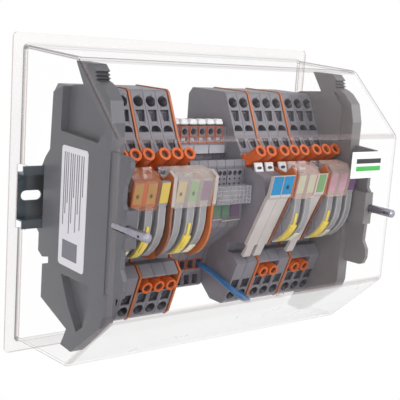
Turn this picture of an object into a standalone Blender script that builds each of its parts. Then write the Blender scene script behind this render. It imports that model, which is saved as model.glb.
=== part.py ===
# Measuring terminal strip: disconnect terminals with levers on a top-hat rail,
# between two end carriers, under a clear hood that two sealing pins pass through.
# Units are metres. X runs along the rail, -Y points out of the panel, Z is up.
# The origin lies in the middle of the rail's back face.

import math

import bmesh
import bpy
from mathutils import Matrix, Vector

mm = 0.001

# Clearances
gap = 0.3 * mm

# Rail
railWidth = 35.0 * mm
railDepth = 7.5 * mm
railGauge = 1.0 * mm
railChannel = 27.0 * mm
railOverhang = 1.4 * mm
railSlotWidth = 5.6 * mm
railSlotLength = 12.5 * mm
railSlotPitch = 36.0 * mm
railSlotCount = 6
railFirstSlot = -93.65 * mm

# Hood: half heights and depths of its section, outside
hoodLength = 201.0 * mm
hoodBackHalf = 83.0 * mm
hoodShoulderHalf = 80.0 * mm
hoodShoulderDepth = 56.5 * mm
hoodFrontHalf = 44.0 * mm
hoodFrontDepth = 95.6 * mm
hoodEndDraft = 2.6 * mm
hoodWall = 1.5 * mm
hoodFlange = 6.6 * mm
hoodDrop = 0.8 * mm

# Terminals
pitch = 8.0 * mm
separatorWidth = 2.15 * mm
separatorLip = 0.6 * mm
plateThickness = 1.3 * mm
smallPitch = 6.25 * mm
smallCount = 6
smallEndPlate = 2.2 * mm
endPlateWidth = 2.4 * mm
stackLeft = -89.7 * mm

# Conductor entries and tool slots
entryDiameter = 5.0 * mm
entryDepth = 10.0 * mm
slotWidth = 5.2 * mm
slotHeight = 6.4 * mm
slotDepth = 3.6 * mm
slotTaper = 0.3
smallEntryDiameter = 3.8 * mm
smallEntryHeight = 39.9 * mm
smallFace = 40.8 * mm
smallLowerFace = 30.4 * mm
smallWindow = 4.0 * mm
smallWindowDepth = 6.0 * mm

# Lever and its pivot
pivotDepth = 62.0 * mm
pivotHeight = 5.0 * mm
leverThickness = 4.2 * mm
leverReach = 28.3 * mm
leverSwing = 55.0
paddleWidth = 5.4 * mm
axleDiameter = 2.8 * mm
hubDiameter = 8.6 * mm

# Interlock caps over the levers
capWall = 1.2 * mm

# Test sockets
socketDiameter = 7.3 * mm
socketBore = 4.3 * mm
socketLength = 13.0 * mm
lowerSocketLength = 8.6 * mm
lowerSocketDiameter = 6.8 * mm

# Carriers and sealing pins
carrierWidth = 7.5 * mm
pocketDepth = 4.5 * mm
innerPocketDepth = 1.8 * mm
wingSetback = 0.6 * mm
wingThickness = 2.5 * mm
bossDepth = 91.6 * mm
bossHalfHeight = 10.0 * mm
pinDiameter = 4.2 * mm
pinShank = 12.0 * mm
pinTipDepth = 109.7 * mm
pinHole = 1.5 * mm
pinHoleSetback = 5.8 * mm
pinInset = 2.1 * mm
pinHeight = -0.6 * mm

# Insulated lead from the middle terminals to the pair beside them
wireDiameter = 3.4 * mm

# Rail hook of every terminal: how it grips the rail's lips
hookReach = 3.1 * mm
hookThickness = 2.8 * mm
footBack = 1.4 * mm

roundSteps = 12


def colour(hexText):
    # sRGB hex, with its leading mark, to linear values for a Principled base colour.
    values = []
    for index in (1, 3, 5):
        channel = int(hexText[index:index + 2], 16) / 255
        if channel <= 0.04045:
            values.append(channel / 12.92)
        else:
            values.append(((channel + 0.055) / 1.055) ** 2.4)
    return (*values, 1.0)


def material(name, hexText, roughness, metallic=0.0, alpha=1.0):
    made = bpy.data.materials.new(name)
    made.use_nodes = True
    shader = made.node_tree.nodes["Principled BSDF"]
    shader.inputs["Base Color"].default_value = colour(hexText)
    shader.inputs["Roughness"].default_value = roughness
    shader.inputs["Metallic"].default_value = metallic
    shader.inputs["Alpha"].default_value = alpha
    return made


def addObject(name, mesh, finish=None, location=(0.0, 0.0, 0.0)):
    made = bpy.data.objects.new(name, mesh)
    made.location = location
    bpy.context.scene.collection.objects.link(made)
    if finish is not None and not mesh.materials:
        mesh.materials.append(finish)
    return made


def outward(mesh):
    # Makes every face point away from the body.
    work = bmesh.new()
    work.from_mesh(mesh)
    bmesh.ops.recalc_face_normals(work, faces=work.faces)
    work.to_mesh(mesh)
    work.free()
    return mesh


def prismMesh(name, outline, xStart, xEnd):
    # outline holds (depth, height) points; depth counts from the rail's back, to the front.
    work = bmesh.new()
    near = [work.verts.new((xStart, -depth, height)) for depth, height in outline]
    face = work.faces.new(near)
    swept = bmesh.ops.extrude_face_region(work, geom=[face])
    moved = [item for item in swept["geom"] if isinstance(item, bmesh.types.BMVert)]
    bmesh.ops.translate(work, verts=moved, vec=(xEnd - xStart, 0.0, 0.0))
    mesh = bpy.data.meshes.new(name)
    work.to_mesh(mesh)
    work.free()
    return outward(mesh)


def cylinderMesh(name, diameter, length, steps=roundSteps):
    # A cylinder from the origin along +Z.
    work = bmesh.new()
    bmesh.ops.create_cone(
        work, cap_ends=True, segments=steps, radius1=diameter / 2, radius2=diameter / 2, depth=length)
    bmesh.ops.translate(work, verts=work.verts, vec=(0.0, 0.0, length / 2))
    mesh = bpy.data.meshes.new(name)
    work.to_mesh(mesh)
    work.free()
    return outward(mesh)


def aim(depth, height, direction, x=0.0):
    # A frame at a point of the profile whose +Z runs along direction (depth, height).
    along = Vector((0.0, -direction[0], direction[1])).normalized()
    side = Vector((1.0, 0.0, 0.0))
    third = along.cross(side)
    turn = Matrix((side, third, along)).transposed().to_4x4()
    return Matrix.Translation((x, -depth, height)) @ turn


def cutter(name, mesh, place=None):
    made = addObject(name, mesh)
    if place is not None:
        made.matrix_world = place
    made.hide_render = True
    made.display_type = "WIRE"
    return made


def boolean(target, other, operation="DIFFERENCE"):
    step = target.modifiers.new(operation.title(), "BOOLEAN")
    step.operation = operation
    step.solver = "EXACT"
    step.object = other
    return step


def settle(target, others=()):
    # Turns the modifiers' result into plain mesh data and removes the helper objects.
    bpy.context.view_layer.update()
    graph = bpy.context.evaluated_depsgraph_get()
    mesh = bpy.data.meshes.new_from_object(target.evaluated_get(graph), depsgraph=graph)
    mesh.name = target.data.name
    target.modifiers.clear()
    target.data = mesh
    for other in others:
        bpy.data.objects.remove(other, do_unlink=True)
    return mesh


def mirrored(points):
    return [(depth, -height) for depth, height in reversed(points)]


def arcPoints(radius, start, end, steps, centre=(pivotDepth, pivotHeight)):
    # Points on an arc about the lever's pivot, angles in degrees above the forward line.
    points = []
    for index in range(steps + 1):
        angle = math.radians(start + (end - start) * index / steps)
        points.append((centre[0] + radius * math.cos(angle), centre[1] + radius * math.sin(angle)))
    return points


def roundedMesh(mesh, angle=35.0):
    mesh.shade_smooth()
    mesh.set_sharp_from_angle(angle=math.radians(angle))
    return mesh


# Profile of the terminals, as (depth, height)

topFaceStart = (37.3 * mm, 61.6 * mm)
topFaceEnd = (47.6 * mm, 40.2 * mm)
secondFaceStart = (48.3 * mm, 38.4 * mm)
secondFaceEnd = (54.6 * mm, 29.9 * mm)
socketSeat = (57.3 * mm, 24.8 * mm)
socketMouthDirection = (0.82, 0.57)
noseTop = (63.5 * mm, 21.6 * mm)
noseFront = (72.4 * mm, 14.1 * mm)
recessTop = -24.6 * mm
recessBottom = -30.0 * mm
recessDepth = 49.0 * mm
ledgeFront = (59.6 * mm, -35.8 * mm)
lowerFaceEnd = (49.8 * mm, -61.2 * mm)
lowerEntryHeight = -57.4 * mm
windowTop = -36.9 * mm
windowBottom = -45.9 * mm
windowDepth = 49.5 * mm
bodyTop = 62.6 * mm
bodyBottom = -63.1 * mm
wallRadius = 17.6 * mm
straightHead = (80.8 * mm, 6.6 * mm)
straightFoot = (66.4 * mm, -23.2 * mm)
frontThickness = 2.3 * mm
slotClear = 0.35 * mm


def along(start, end, height):
    # The point of a straight profile edge at a given height.
    share = (height - start[1]) / (end[1] - start[1])
    return (start[0] + share * (end[0] - start[0]), height)


def railFoot():
    # Upper half of the seat on the rail: front of the lip, round its edge and behind it.
    lip = railWidth / 2 + gap
    behind = railDepth - railGauge - gap
    return [
        (railDepth + gap, lip),
        (behind, lip),
        (behind, lip - hookReach),
        (behind - hookThickness, lip - hookReach),
        (footBack, lip + 1.0 * mm),
    ]


def seatLine():
    # The face that carries the test sockets, square to their axis.
    across = Vector((socketMouthDirection[1], -socketMouthDirection[0])).normalized()
    half = socketDiameter / 2 + 0.1 * mm
    back = Vector(socketMouthDirection).normalized() * gap
    middle = Vector(socketSeat) - back
    return [tuple(middle - across * half), tuple(middle + across * half)]


def upperOutline(lift=0.0):
    # From the rail over the top to the seat of the sockets; lift raises the front faces.
    return [
        (footBack, 58.5 * mm),
        (5.0 * mm, bodyTop + lift),
        (35.5 * mm, bodyTop + lift),
        (topFaceStart[0] + lift, topFaceStart[1]),
        (topFaceEnd[0] + lift, topFaceEnd[1]),
        (secondFaceStart[0] + lift, secondFaceStart[1]),
        (secondFaceEnd[0] + lift, secondFaceEnd[1]),
    ]


def lowerOutline(window, lift=0.0):
    # From the recess under the levers round the bottom and back to the rail.
    points = [
        (recessDepth + lift, recessTop),
        (recessDepth + lift, recessBottom),
        (54.5 * mm + lift, recessBottom - 0.4 * mm),
        (ledgeFront[0] + lift, ledgeFront[1]),
    ]
    if window:
        top = along(ledgeFront, lowerFaceEnd, windowTop)
        bottom = along(ledgeFront, lowerFaceEnd, windowBottom)
        points += [top, (windowDepth, windowTop), (windowDepth, windowBottom), bottom]
    points += [
        (lowerFaceEnd[0] + lift, lowerFaceEnd[1]),
        (47.4 * mm, bodyBottom - lift),
        (36.5 * mm, bodyBottom - lift),
        (9.5 * mm, -42.0 * mm),
        (footBack, -26.0 * mm),
    ]
    return points


def leverZone():
    # Front edge of the walls beside a lever: clear of the paddle as it swings down.
    points = [noseTop, noseFront]
    points += arcPoints(wallRadius, 22.0, -52.0, 6)
    return points + [(74.3 * mm, -14.6 * mm), (70.0 * mm, -18.6 * mm), (64.0 * mm, -23.0 * mm)]


def frontLine(back):
    # The flat front of a straight terminal, moved back square to itself.
    run = (Vector(straightFoot) - Vector(straightHead)).normalized()
    shift = Vector((run.y, -run.x)) * back
    return [tuple(Vector(straightHead) + shift), tuple(Vector(straightFoot) + shift)]


def housingOutline(straight, window):
    if straight:
        zone = [noseTop, (76.6 * mm, 18.4 * mm)] + frontLine(frontThickness + gap)
    else:
        zone = leverZone()
    return (
        railFoot() + upperOutline() + seatLine() + zone
        + lowerOutline(window) + mirrored(railFoot()))


def wedgeMesh(name):
    # A tapering tool slot: wide at its upper edge, along +Z into the housing.
    work = bmesh.new()
    half = slotWidth / 2
    mouth = [(-half, slotHeight / 2), (half, slotHeight / 2), (half * 0.45, -slotHeight / 2),
             (-half * 0.45, -slotHeight / 2)]
    rings = []
    for depth, share in ((-mm, 1.0 + slotTaper * mm / slotDepth), (slotDepth, 1.0 - slotTaper)):
        rings.append([work.verts.new((x * share, y * share, depth)) for x, y in mouth])
    for index in range(4):
        after = (index + 1) % 4
        work.faces.new((rings[0][index], rings[0][after], rings[1][after], rings[1][index]))
    work.faces.new(rings[0])
    work.faces.new(rings[-1])
    mesh = bpy.data.meshes.new(name)
    work.to_mesh(mesh)
    work.free()
    return outward(mesh)


def halfRoundMesh(name):
    # The half-round entry at the foot of the top face: flat edge down.
    work = bmesh.new()
    radius = entryDiameter / 2
    base = [(-radius, 0.0), (radius, 0.0)]
    for index in range(1, 6):
        angle = math.pi * index / 6
        base.append((radius * math.cos(angle), radius * math.sin(angle)))
    rings = [[work.verts.new((x, y, depth)) for x, y in base] for depth in (-1.5 * mm, 5.0 * mm)]
    count = len(base)
    for index in range(count):
        after = (index + 1) % count
        work.faces.new((rings[0][index], rings[0][after], rings[1][after], rings[1][index]))
    work.faces.new(rings[0])
    work.faces.new(rings[1])
    mesh = bpy.data.meshes.new(name)
    work.to_mesh(mesh)
    work.free()
    return outward(mesh)


def inwardNormal(start, end):
    # Direction into the housing, square to a front face that runs from start down to end.
    run = Vector((end[0] - start[0], end[1] - start[1])).normalized()
    return (run[1], -run[0])


def entryCutters():
    # One terminal's round entries, tool slots and half-round entry.
    upper = inwardNormal(topFaceStart, topFaceEnd)
    second = inwardNormal(secondFaceStart, secondFaceEnd)
    lower = inwardNormal(ledgeFront, lowerFaceEnd)
    wedge = wedgeMesh("wedge")
    halfRound = halfRoundMesh("half_round")
    hole = cylinderMesh("entry", entryDiameter, entryDepth + 1.0 * mm)
    made = []
    for mesh, edge, height, into, setback in (
            (hole, (topFaceStart, topFaceEnd), 57.0 * mm, upper, 1.0 * mm),
            (wedge, (topFaceStart, topFaceEnd), 49.4 * mm, upper, 0.0),
            (halfRound, (topFaceStart, topFaceEnd), 41.4 * mm, upper, 0.0),
            (wedge, (secondFaceStart, secondFaceEnd), 34.3 * mm, second, 0.0),
            (hole, (ledgeFront, lowerFaceEnd), lowerEntryHeight, lower, 1.0 * mm),
            (wedge, (ledgeFront, lowerFaceEnd), -49.9 * mm, lower, 0.0)):
        point = along(edge[0], edge[1], height)
        place = aim(point[0] - into[0] * setback, height - into[1] * setback, into)
        if mesh is not hole:
            place = place @ Matrix.Rotation(math.pi, 4, "Z")
        made.append(cutter("entry_cutter", mesh, place))
    return made


def leverPocket():
    # The slot that the lever turns in, with the arc its lower end sweeps.
    reach = leverReach + 2 * slotClear
    half = leverThickness / 2 + slotClear
    outline = [(96.0 * mm, 15.5 * mm), (76.0 * mm, 15.5 * mm), (66.5 * mm, 10.6 * mm)]
    outline += arcPoints(hubDiameter / 2 + slotClear, 70.0, 130.0, 3)
    outline += arcPoints(reach, -95.0 - leverSwing, -60.0, 7)
    outline += [(96.0 * mm, -20.0 * mm)]
    return cutter("lever_pocket", prismMesh("pocket", outline, -half, half))


def axleBore():
    mesh = cylinderMesh("axle_bore", axleDiameter + 2 * gap, pitch + 2 * mm, 8)
    place = Matrix.Translation((-pitch / 2 - 1.0 * mm, -pivotDepth, pivotHeight))
    return cutter("axle_cutter", mesh, place @ Matrix.Rotation(math.pi / 2, 4, "Y"))


def housingMesh(name, straight, window):
    half = (pitch - gap) / 2
    body = addObject(name, prismMesh(name, housingOutline(straight, window), -half, half))
    cutters = entryCutters()
    if not straight:
        cutters += [leverPocket(), axleBore()]
    for item in cutters:
        boolean(body, item)
    mesh = settle(body, cutters)
    bpy.data.objects.remove(body, do_unlink=True)
    return roundedMesh(mesh)


# Lever outlines, as (depth, height)

paddleTop = (85.2 * mm, 20.8 * mm)
paddleBottom = (82.6 * mm, 8.0 * mm)
paddleThickness = 2.4 * mm
footLength = 8.4 * mm
footWidth = 5.4 * mm


def leverOutline():
    front = [
        (paddleTop[0] - 0.6 * mm, paddleTop[1] - 1.0 * mm),
        paddleBottom,
        (82.4 * mm, 3.0 * mm),
        (82.2 * mm, -2.0 * mm),
        (81.0 * mm, -7.4 * mm),
        (78.4 * mm, -12.6 * mm),
        (74.4 * mm, -17.2 * mm),
        (69.6 * mm, -20.8 * mm),
        (65.6 * mm, -22.0 * mm),
        (61.8 * mm, -19.0 * mm),
    ]
    hub = arcPoints(hubDiameter / 2, -150.0, -290.0, 6)
    return front + hub + [(80.0 * mm, 14.0 * mm), (82.0 * mm, 19.4 * mm)]


def paddleOutline():
    return [
        paddleTop,
        paddleBottom,
        (paddleBottom[0] - paddleThickness, paddleBottom[1] + 0.4 * mm),
        (paddleTop[0] - paddleThickness, paddleTop[1] + 0.3 * mm),
    ]


def leverMesh(name):
    # One lever, drawn about its pivot: web, card paddle and stub axles in one moulding.
    half = leverThickness / 2
    body = addObject(name, prismMesh(name, leverOutline(), -half, half))
    paddle = cutter("paddle", prismMesh("paddle", paddleOutline(), -paddleWidth / 2, paddleWidth / 2))
    axleLength = pitch - gap - 2 * 0.25 * mm
    axle = cylinderMesh("axle", axleDiameter, axleLength, 8)
    place = Matrix.Translation((-axleLength / 2, -pivotDepth, pivotHeight))
    pin = cutter("axle", axle, place @ Matrix.Rotation(math.pi / 2, 4, "Y"))
    boolean(body, paddle, "UNION")
    boolean(body, pin, "UNION")
    mesh = settle(body, [paddle, pin])
    bpy.data.objects.remove(body, do_unlink=True)
    mesh.transform(Matrix.Translation((0.0, pivotDepth, -pivotHeight)))
    return roundedMesh(mesh)


def frontMesh(name):
    # The flat front of a straight terminal: full width, with a card holder and a narrow foot.
    back = frontLine(frontThickness)
    half = (pitch - gap) / 2
    plate = [
        paddleTop, paddleBottom, straightHead, straightFoot, back[1], back[0],
        (paddleBottom[0] - frontThickness, paddleBottom[1] + 1.4 * mm),
        (paddleTop[0] - frontThickness, paddleTop[1] - 0.4 * mm),
    ]
    body = addObject(name, prismMesh(name, plate, -half, half))
    run = (Vector(straightFoot) - Vector(straightHead)).normalized() * footLength
    middle = (Vector(straightFoot) + Vector(back[1])) / 2
    foot = [
        tuple(Vector(straightFoot) - run / 4), tuple(Vector(straightFoot) + run),
        tuple(Vector(back[1]) + run), tuple(middle - run / 4),
    ]
    tab = cutter("tab", prismMesh("tab", foot, -footWidth / 2, footWidth / 2))
    boolean(body, tab, "UNION")
    mesh = settle(body, [tab])
    bpy.data.objects.remove(body, do_unlink=True)
    return mesh


def capOutline():
    # The interlock cap's bent front, as a strip of even thickness round the paddles.
    lean = (paddleTop[0] - paddleBottom[0]) / (paddleTop[1] - paddleBottom[1])
    inner = paddleBottom[0] + gap
    low = paddleBottom[1] - 1.6 * mm
    lowDepth = inner - 1.6 * mm * lean
    return [
        (lowDepth + capWall, low),
        (paddleTop[0] + gap + capWall, paddleTop[1] + 0.2 * mm),
        (82.2 * mm, 25.6 * mm),
        (74.0 * mm, 26.6 * mm),
        (74.0 * mm, 26.6 * mm - capWall),
        (81.5 * mm, 25.6 * mm - capWall - 0.1 * mm),
        (paddleTop[0] + gap, paddleTop[1] + 0.5 * mm),
        (lowDepth, low),
    ]


def cheekOutline():
    outer = capOutline()[:4]
    return outer + [(75.0 * mm, 20.5 * mm), (79.0 * mm, 15.0 * mm), (79.6 * mm, 7.4 * mm)]


def capObject(name, finish, first, last):
    # A cap that ties the levers from first to last together, drawn about their pivot.
    start = first - pitch / 2 + gap / 2
    end = last + pitch / 2 - gap / 2
    cheekWidth = (pitch - paddleWidth) / 2 - gap / 2 - gap
    body = addObject(name, prismMesh(name, capOutline(), start, end), finish)
    left = cutter("cheek_left", prismMesh("cheek_left", cheekOutline(), start, start + cheekWidth))
    right = cutter("cheek_right", prismMesh("cheek_right", cheekOutline(), end - cheekWidth, end))
    boolean(body, left, "UNION")
    boolean(body, right, "UNION")
    mesh = settle(body, [left, right])
    middle = (first + last) / 2
    mesh.transform(Matrix.Translation((-middle, pivotDepth, -pivotHeight)))
    body.location = (middle, -pivotDepth, pivotHeight)
    return body


def socketStrip(name, finish, centres, lower):
    # A row of orange test sockets on one bar.
    start = centres[0] - pitch / 2 + gap / 2
    end = centres[-1] + pitch / 2 - gap / 2
    if lower:
        direction = (0.97, -0.24)
        middle = (windowTop + windowBottom) / 2
        diameter, length = lowerSocketDiameter, lowerSocketLength
        foot = (windowDepth + gap + 1.0 * mm, middle + 0.6 * mm)
        bar = [
            (windowDepth + gap, windowTop - gap),
            (windowDepth + 2.8 * mm, windowTop - gap),
            (windowDepth + 2.8 * mm, windowBottom + gap),
            (windowDepth + gap, windowBottom + gap),
        ]
    else:
        direction = socketMouthDirection
        diameter, length = socketDiameter, socketLength
        foot = socketSeat
        along3 = Vector(direction).normalized()
        across = Vector((along3.y, -along3.x))
        half = diameter / 2 - 0.15 * mm
        seat = Vector(socketSeat)
        front = seat + along3 * 2.6 * mm
        bar = [tuple(seat - across * half), tuple(front - across * half),
               tuple(front + across * half), tuple(seat + across * half)]
    body = addObject(name, prismMesh(name, bar, start, end), finish)
    helpers = []
    tube = cylinderMesh("tube", diameter, length - 0.4 * mm)
    bore = cylinderMesh("bore", socketBore, length)
    for x in centres:
        place = aim(foot[0], foot[1], direction, x)
        solid = cutter("tube", tube, place @ Matrix.Translation((0.0, 0.0, 0.4 * mm)))
        boolean(body, solid, "UNION")
        helpers.append(solid)
    for x in centres:
        place = aim(foot[0], foot[1], direction, x) @ Matrix.Translation((0.0, 0.0, 3.2 * mm))
        hollow = cutter("bore", bore, place)
        boolean(body, hollow)
        helpers.append(hollow)
    roundedMesh(settle(body, helpers))
    return body


def separatorOutline(straight):
    # A plate between two housings: their profile with a lip, and a lobe beside the levers.
    if straight:
        edge = frontLine(-separatorLip)
        lobe = [(84.6 * mm, 21.6 * mm), (82.4 * mm, 7.4 * mm)] + edge
    else:
        rim = arcPoints(21.6 * mm, 6.0, -82.0, 8, (62.0 * mm, -3.0 * mm))
        lobe = [(85.4 * mm, 22.4 * mm), (84.2 * mm, 8.0 * mm)] + rim
    shoulder = [
        (secondFaceEnd[0] + 1.6 * mm, 27.6 * mm), (60.6 * mm, 22.4 * mm), (63.0 * mm, 23.0 * mm),
        (76.0 * mm, 20.4 * mm), (81.0 * mm, 24.8 * mm),
    ]
    return (
        railFoot() + upperOutline(separatorLip) + shoulder + lobe
        + lowerOutline(False, separatorLip) + mirrored(railFoot()))


def smallOutline():
    # The middle terminals: lower than their neighbours, with a block that carries their cards.
    return (
        railFoot() + [
            (footBack, 38.0 * mm), (6.0 * mm, 43.4 * mm), (34.0 * mm, 44.0 * mm),
            (smallFace, 42.7 * mm), (smallFace, 33.6 * mm), (42.4 * mm, 32.0 * mm),
            (42.4 * mm, 27.6 * mm), (40.0 * mm, 26.6 * mm), (40.0 * mm, 23.6 * mm),
            (47.0 * mm, 24.0 * mm), (59.8 * mm, 26.4 * mm), (60.4 * mm, 23.0 * mm),
            (59.7 * mm, 20.4 * mm), (60.4 * mm, -7.0 * mm), (57.0 * mm, -13.0 * mm),
            (44.0 * mm, -24.0 * mm), (35.0 * mm, -30.6 * mm), (32.0 * mm, -34.0 * mm),
            (31.0 * mm, -36.6 * mm), (smallLowerFace, -38.6 * mm), (29.6 * mm, -45.4 * mm),
            (27.4 * mm, -48.0 * mm), (27.2 * mm, -56.2 * mm), (25.4 * mm, -57.4 * mm),
            (13.0 * mm, -57.4 * mm), (9.5 * mm, -40.0 * mm), (footBack, -26.0 * mm),
        ] + mirrored(railFoot()))


def smallHousingMesh(name):
    half = (smallPitch - gap) / 2
    body = addObject(name, prismMesh(name, smallOutline(), -half, half))
    hole = cylinderMesh("small_entry", smallEntryDiameter, entryDepth, 10)
    helpers = [cutter("upper", hole, aim(smallFace + mm, smallEntryHeight, (-1.0, 0.0)))]
    for front, depth, low, high in (
            (smallFace, 3.0 * mm, 34.6 * mm, 36.8 * mm),
            (smallLowerFace, smallWindowDepth, -44.4 * mm, -39.4 * mm),
            (27.4 * mm, 5.0 * mm, -55.4 * mm, -49.4 * mm)):
        outline = [
            (front + mm, high), (front + mm, low), (front - depth, low + 0.3 * mm),
            (front - depth, high - 0.3 * mm)]
        window = prismMesh("window", outline, -smallWindow / 2, smallWindow / 2)
        helpers.append(cutter("window", window))
    for item in helpers:
        boolean(body, item)
    mesh = settle(body, helpers)
    bpy.data.objects.remove(body, do_unlink=True)
    return roundedMesh(mesh)


def railObject(finish):
    # Top-hat section with slots along its middle.
    half = railWidth / 2
    channel = railChannel / 2
    lip = railDepth - railGauge
    inner = channel - railGauge
    outline = [
        (0.0, channel), (lip, channel), (lip, half), (railDepth, half), (railDepth, inner),
        (railGauge, inner), (railGauge, -inner), (railDepth, -inner), (railDepth, -half),
        (lip, -half), (lip, -channel), (0.0, -channel),
    ]
    end = hoodLength / 2 + railOverhang
    body = addObject("mounting_rail", prismMesh("mounting_rail", outline, -end, end), finish)
    slots = []
    for index in range(railSlotCount):
        middle = railFirstSlot + index * railSlotPitch
        slots.append(cutter("rail_slot", slotMesh(), Matrix.Translation((middle, 0.0, 0.0))))
        boolean(body, slots[-1])
    roundedMesh(settle(body, slots))
    return body


def slotMesh():
    # A long hole with round ends, through the rail's web.
    radius = railSlotWidth / 2
    straight = railSlotLength / 2 - radius
    work = bmesh.new()
    ring = []
    for side in (1, -1):
        for index in range(7):
            angle = math.pi * index / 6 - math.pi / 2
            x = side * (straight + radius * math.cos(angle))
            z = side * radius * math.sin(angle)
            ring.append(work.verts.new((x, 1.0 * mm, z)))
    face = work.faces.new(ring)
    swept = bmesh.ops.extrude_face_region(work, geom=[face])
    moved = [item for item in swept["geom"] if isinstance(item, bmesh.types.BMVert)]
    bmesh.ops.translate(work, verts=moved, vec=(0.0, -railGauge - 2.0 * mm, 0.0))
    mesh = bpy.data.meshes.new("slot")
    work.to_mesh(mesh)
    work.free()
    return outward(mesh)


def hoodSection():
    # Outer section from the top back edge round the front, heights about the hood's middle.
    return [
        (hoodWall, hoodBackHalf), (hoodShoulderDepth, hoodShoulderHalf),
        (hoodFrontDepth, hoodFrontHalf), (hoodFrontDepth, -hoodFrontHalf),
        (hoodShoulderDepth, -hoodShoulderHalf), (hoodWall, -hoodBackHalf),
    ]


def hoodObject(finish, pins):
    # A vacuum-formed shell of even wall: flange, end walls, chamfers and front in one piece.
    work = bmesh.new()
    sides = []
    for side in (-1, 1):
        ring = []
        for depth, height in hoodSection():
            inset = hoodEndDraft * (depth - hoodWall) / (hoodFrontDepth - hoodWall)
            ring.append(work.verts.new((side * (hoodLength / 2 - inset), -depth, height - hoodDrop)))
        sides.append(ring)
    count = len(sides[0])
    for index in range(count - 1):
        work.faces.new((sides[0][index], sides[0][index + 1], sides[1][index + 1], sides[1][index]))
    work.faces.new(sides[0])
    work.faces.new(sides[1])
    inner = [sides[0][0], sides[1][0], sides[1][-1], sides[0][-1]]
    half = hoodLength / 2 + hoodFlange
    tall = hoodBackHalf + hoodFlange
    outer = [
        work.verts.new((x, -hoodWall, z - hoodDrop))
        for x, z in ((-half, tall), (half, tall), (half, -tall), (-half, -tall))]
    for index in range(4):
        after = (index + 1) % 4
        work.faces.new((inner[index], inner[after], outer[after], outer[index]))
    bmesh.ops.recalc_face_normals(work, faces=work.faces)
    front = min(work.faces, key=lambda face: face.calc_center_median().y)
    if front.normal.y > 0:
        bmesh.ops.reverse_faces(work, faces=work.faces)
    mesh = bpy.data.meshes.new("clear_hood")
    work.to_mesh(mesh)
    work.free()
    body = addObject("clear_hood", mesh, finish)
    shell = body.modifiers.new("Wall", "SOLIDIFY")
    shell.thickness = hoodWall
    shell.offset = -1.0
    shell.use_even_offset = True
    helpers = []
    notch = [
        (-1.0 * mm, railWidth / 2 + gap), (railDepth + gap, railWidth / 2 + gap),
        (railDepth + gap, -railWidth / 2 - gap), (-1.0 * mm, -railWidth / 2 - gap),
    ]
    for side in (-1, 1):
        start = side * (hoodLength / 2 - 4.0 * mm)
        end = side * (half + 1.0 * mm)
        helpers.append(cutter("rail_notch", prismMesh("notch", notch, min(start, end), max(start, end))))
    hole = cylinderMesh("hood_hole", pinDiameter + 2 * gap, 3 * hoodWall)
    for x in pins:
        place = aim(hoodFrontDepth - 2 * hoodWall, pinHeight, (1.0, 0.0), x)
        helpers.append(cutter("pin_hole", hole, place))
    for item in helpers:
        boolean(body, item)
    settle(body, helpers)
    return body


# Carrier outlines, as (depth, height)

carrierOutline = [
    (15.0 * mm, 58.8 * mm), (18.9 * mm, 60.5 * mm), (28.5 * mm, 63.6 * mm), (46.6 * mm, 65.2 * mm),
    (38.4 * mm, 76.6 * mm), (55.6 * mm, 76.2 * mm), (59.4 * mm, 72.9 * mm), (57.4 * mm, 72.1 * mm),
    (60.0 * mm, 71.1 * mm), (58.0 * mm, 70.3 * mm), (60.6 * mm, 69.3 * mm), (58.6 * mm, 68.5 * mm),
    (62.4 * mm, 67.4 * mm), (66.8 * mm, 65.4 * mm), (73.0 * mm, 59.6 * mm), (75.8 * mm, 49.0 * mm),
    (75.8 * mm, -49.0 * mm), (73.3 * mm, -55.4 * mm), (45.4 * mm, -77.4 * mm), (34.0 * mm, -76.8 * mm),
    (39.6 * mm, -66.4 * mm), (9.2 * mm, -57.0 * mm), (9.4 * mm, -37.6 * mm), (16.4 * mm, -35.6 * mm),
    (16.2 * mm, -32.0 * mm), (9.1 * mm, -33.6 * mm), (4.0 * mm, -31.1 * mm), (4.0 * mm, -21.0 * mm),
]
upperPocket = [
    (25.2 * mm, 60.4 * mm), (26.6 * mm, 67.5 * mm), (44.4 * mm, 67.5 * mm), (47.0 * mm, 65.0 * mm),
    (71.8 * mm, 46.9 * mm), (63.1 * mm, 37.6 * mm), (24.9 * mm, 39.2 * mm),
]
lowerPocket = [
    (31.4 * mm, -37.6 * mm), (61.0 * mm, -36.6 * mm), (60.9 * mm, -46.9 * mm),
    (56.3 * mm, -60.4 * mm), (50.0 * mm, -64.6 * mm), (40.2 * mm, -53.0 * mm),
]
innerPocket = [
    (57.0 * mm, 66.2 * mm), (65.6 * mm, 57.2 * mm), (65.0 * mm, 37.2 * mm),
    (73.2 * mm, 37.2 * mm), (73.2 * mm, 55.0 * mm), (66.4 * mm, 62.6 * mm),
]
wingOutline = [
    (73.0 * mm, 35.4 * mm), (91.0 * mm, 34.4 * mm), (93.2 * mm, 32.8 * mm), (93.4 * mm, 29.4 * mm),
    (88.2 * mm, 20.4 * mm), (88.0 * mm, 11.4 * mm), (91.4 * mm, 7.0 * mm), (91.9 * mm, -3.6 * mm),
    (89.6 * mm, -8.4 * mm), (89.0 * mm, -21.0 * mm), (92.2 * mm, -26.0 * mm), (92.4 * mm, -30.8 * mm),
    (90.6 * mm, -35.0 * mm), (88.4 * mm, -35.9 * mm), (73.0 * mm, -36.6 * mm),
]


def carrierFoot():
    # Lower half of the seat on the rail, then up its lip to the upper hook.
    lower = mirrored(railFoot())
    return lower[1:] + railFoot()[:-1] + [(8.6 * mm, 22.5 * mm), (13.6 * mm, 27.6 * mm)]


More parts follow.
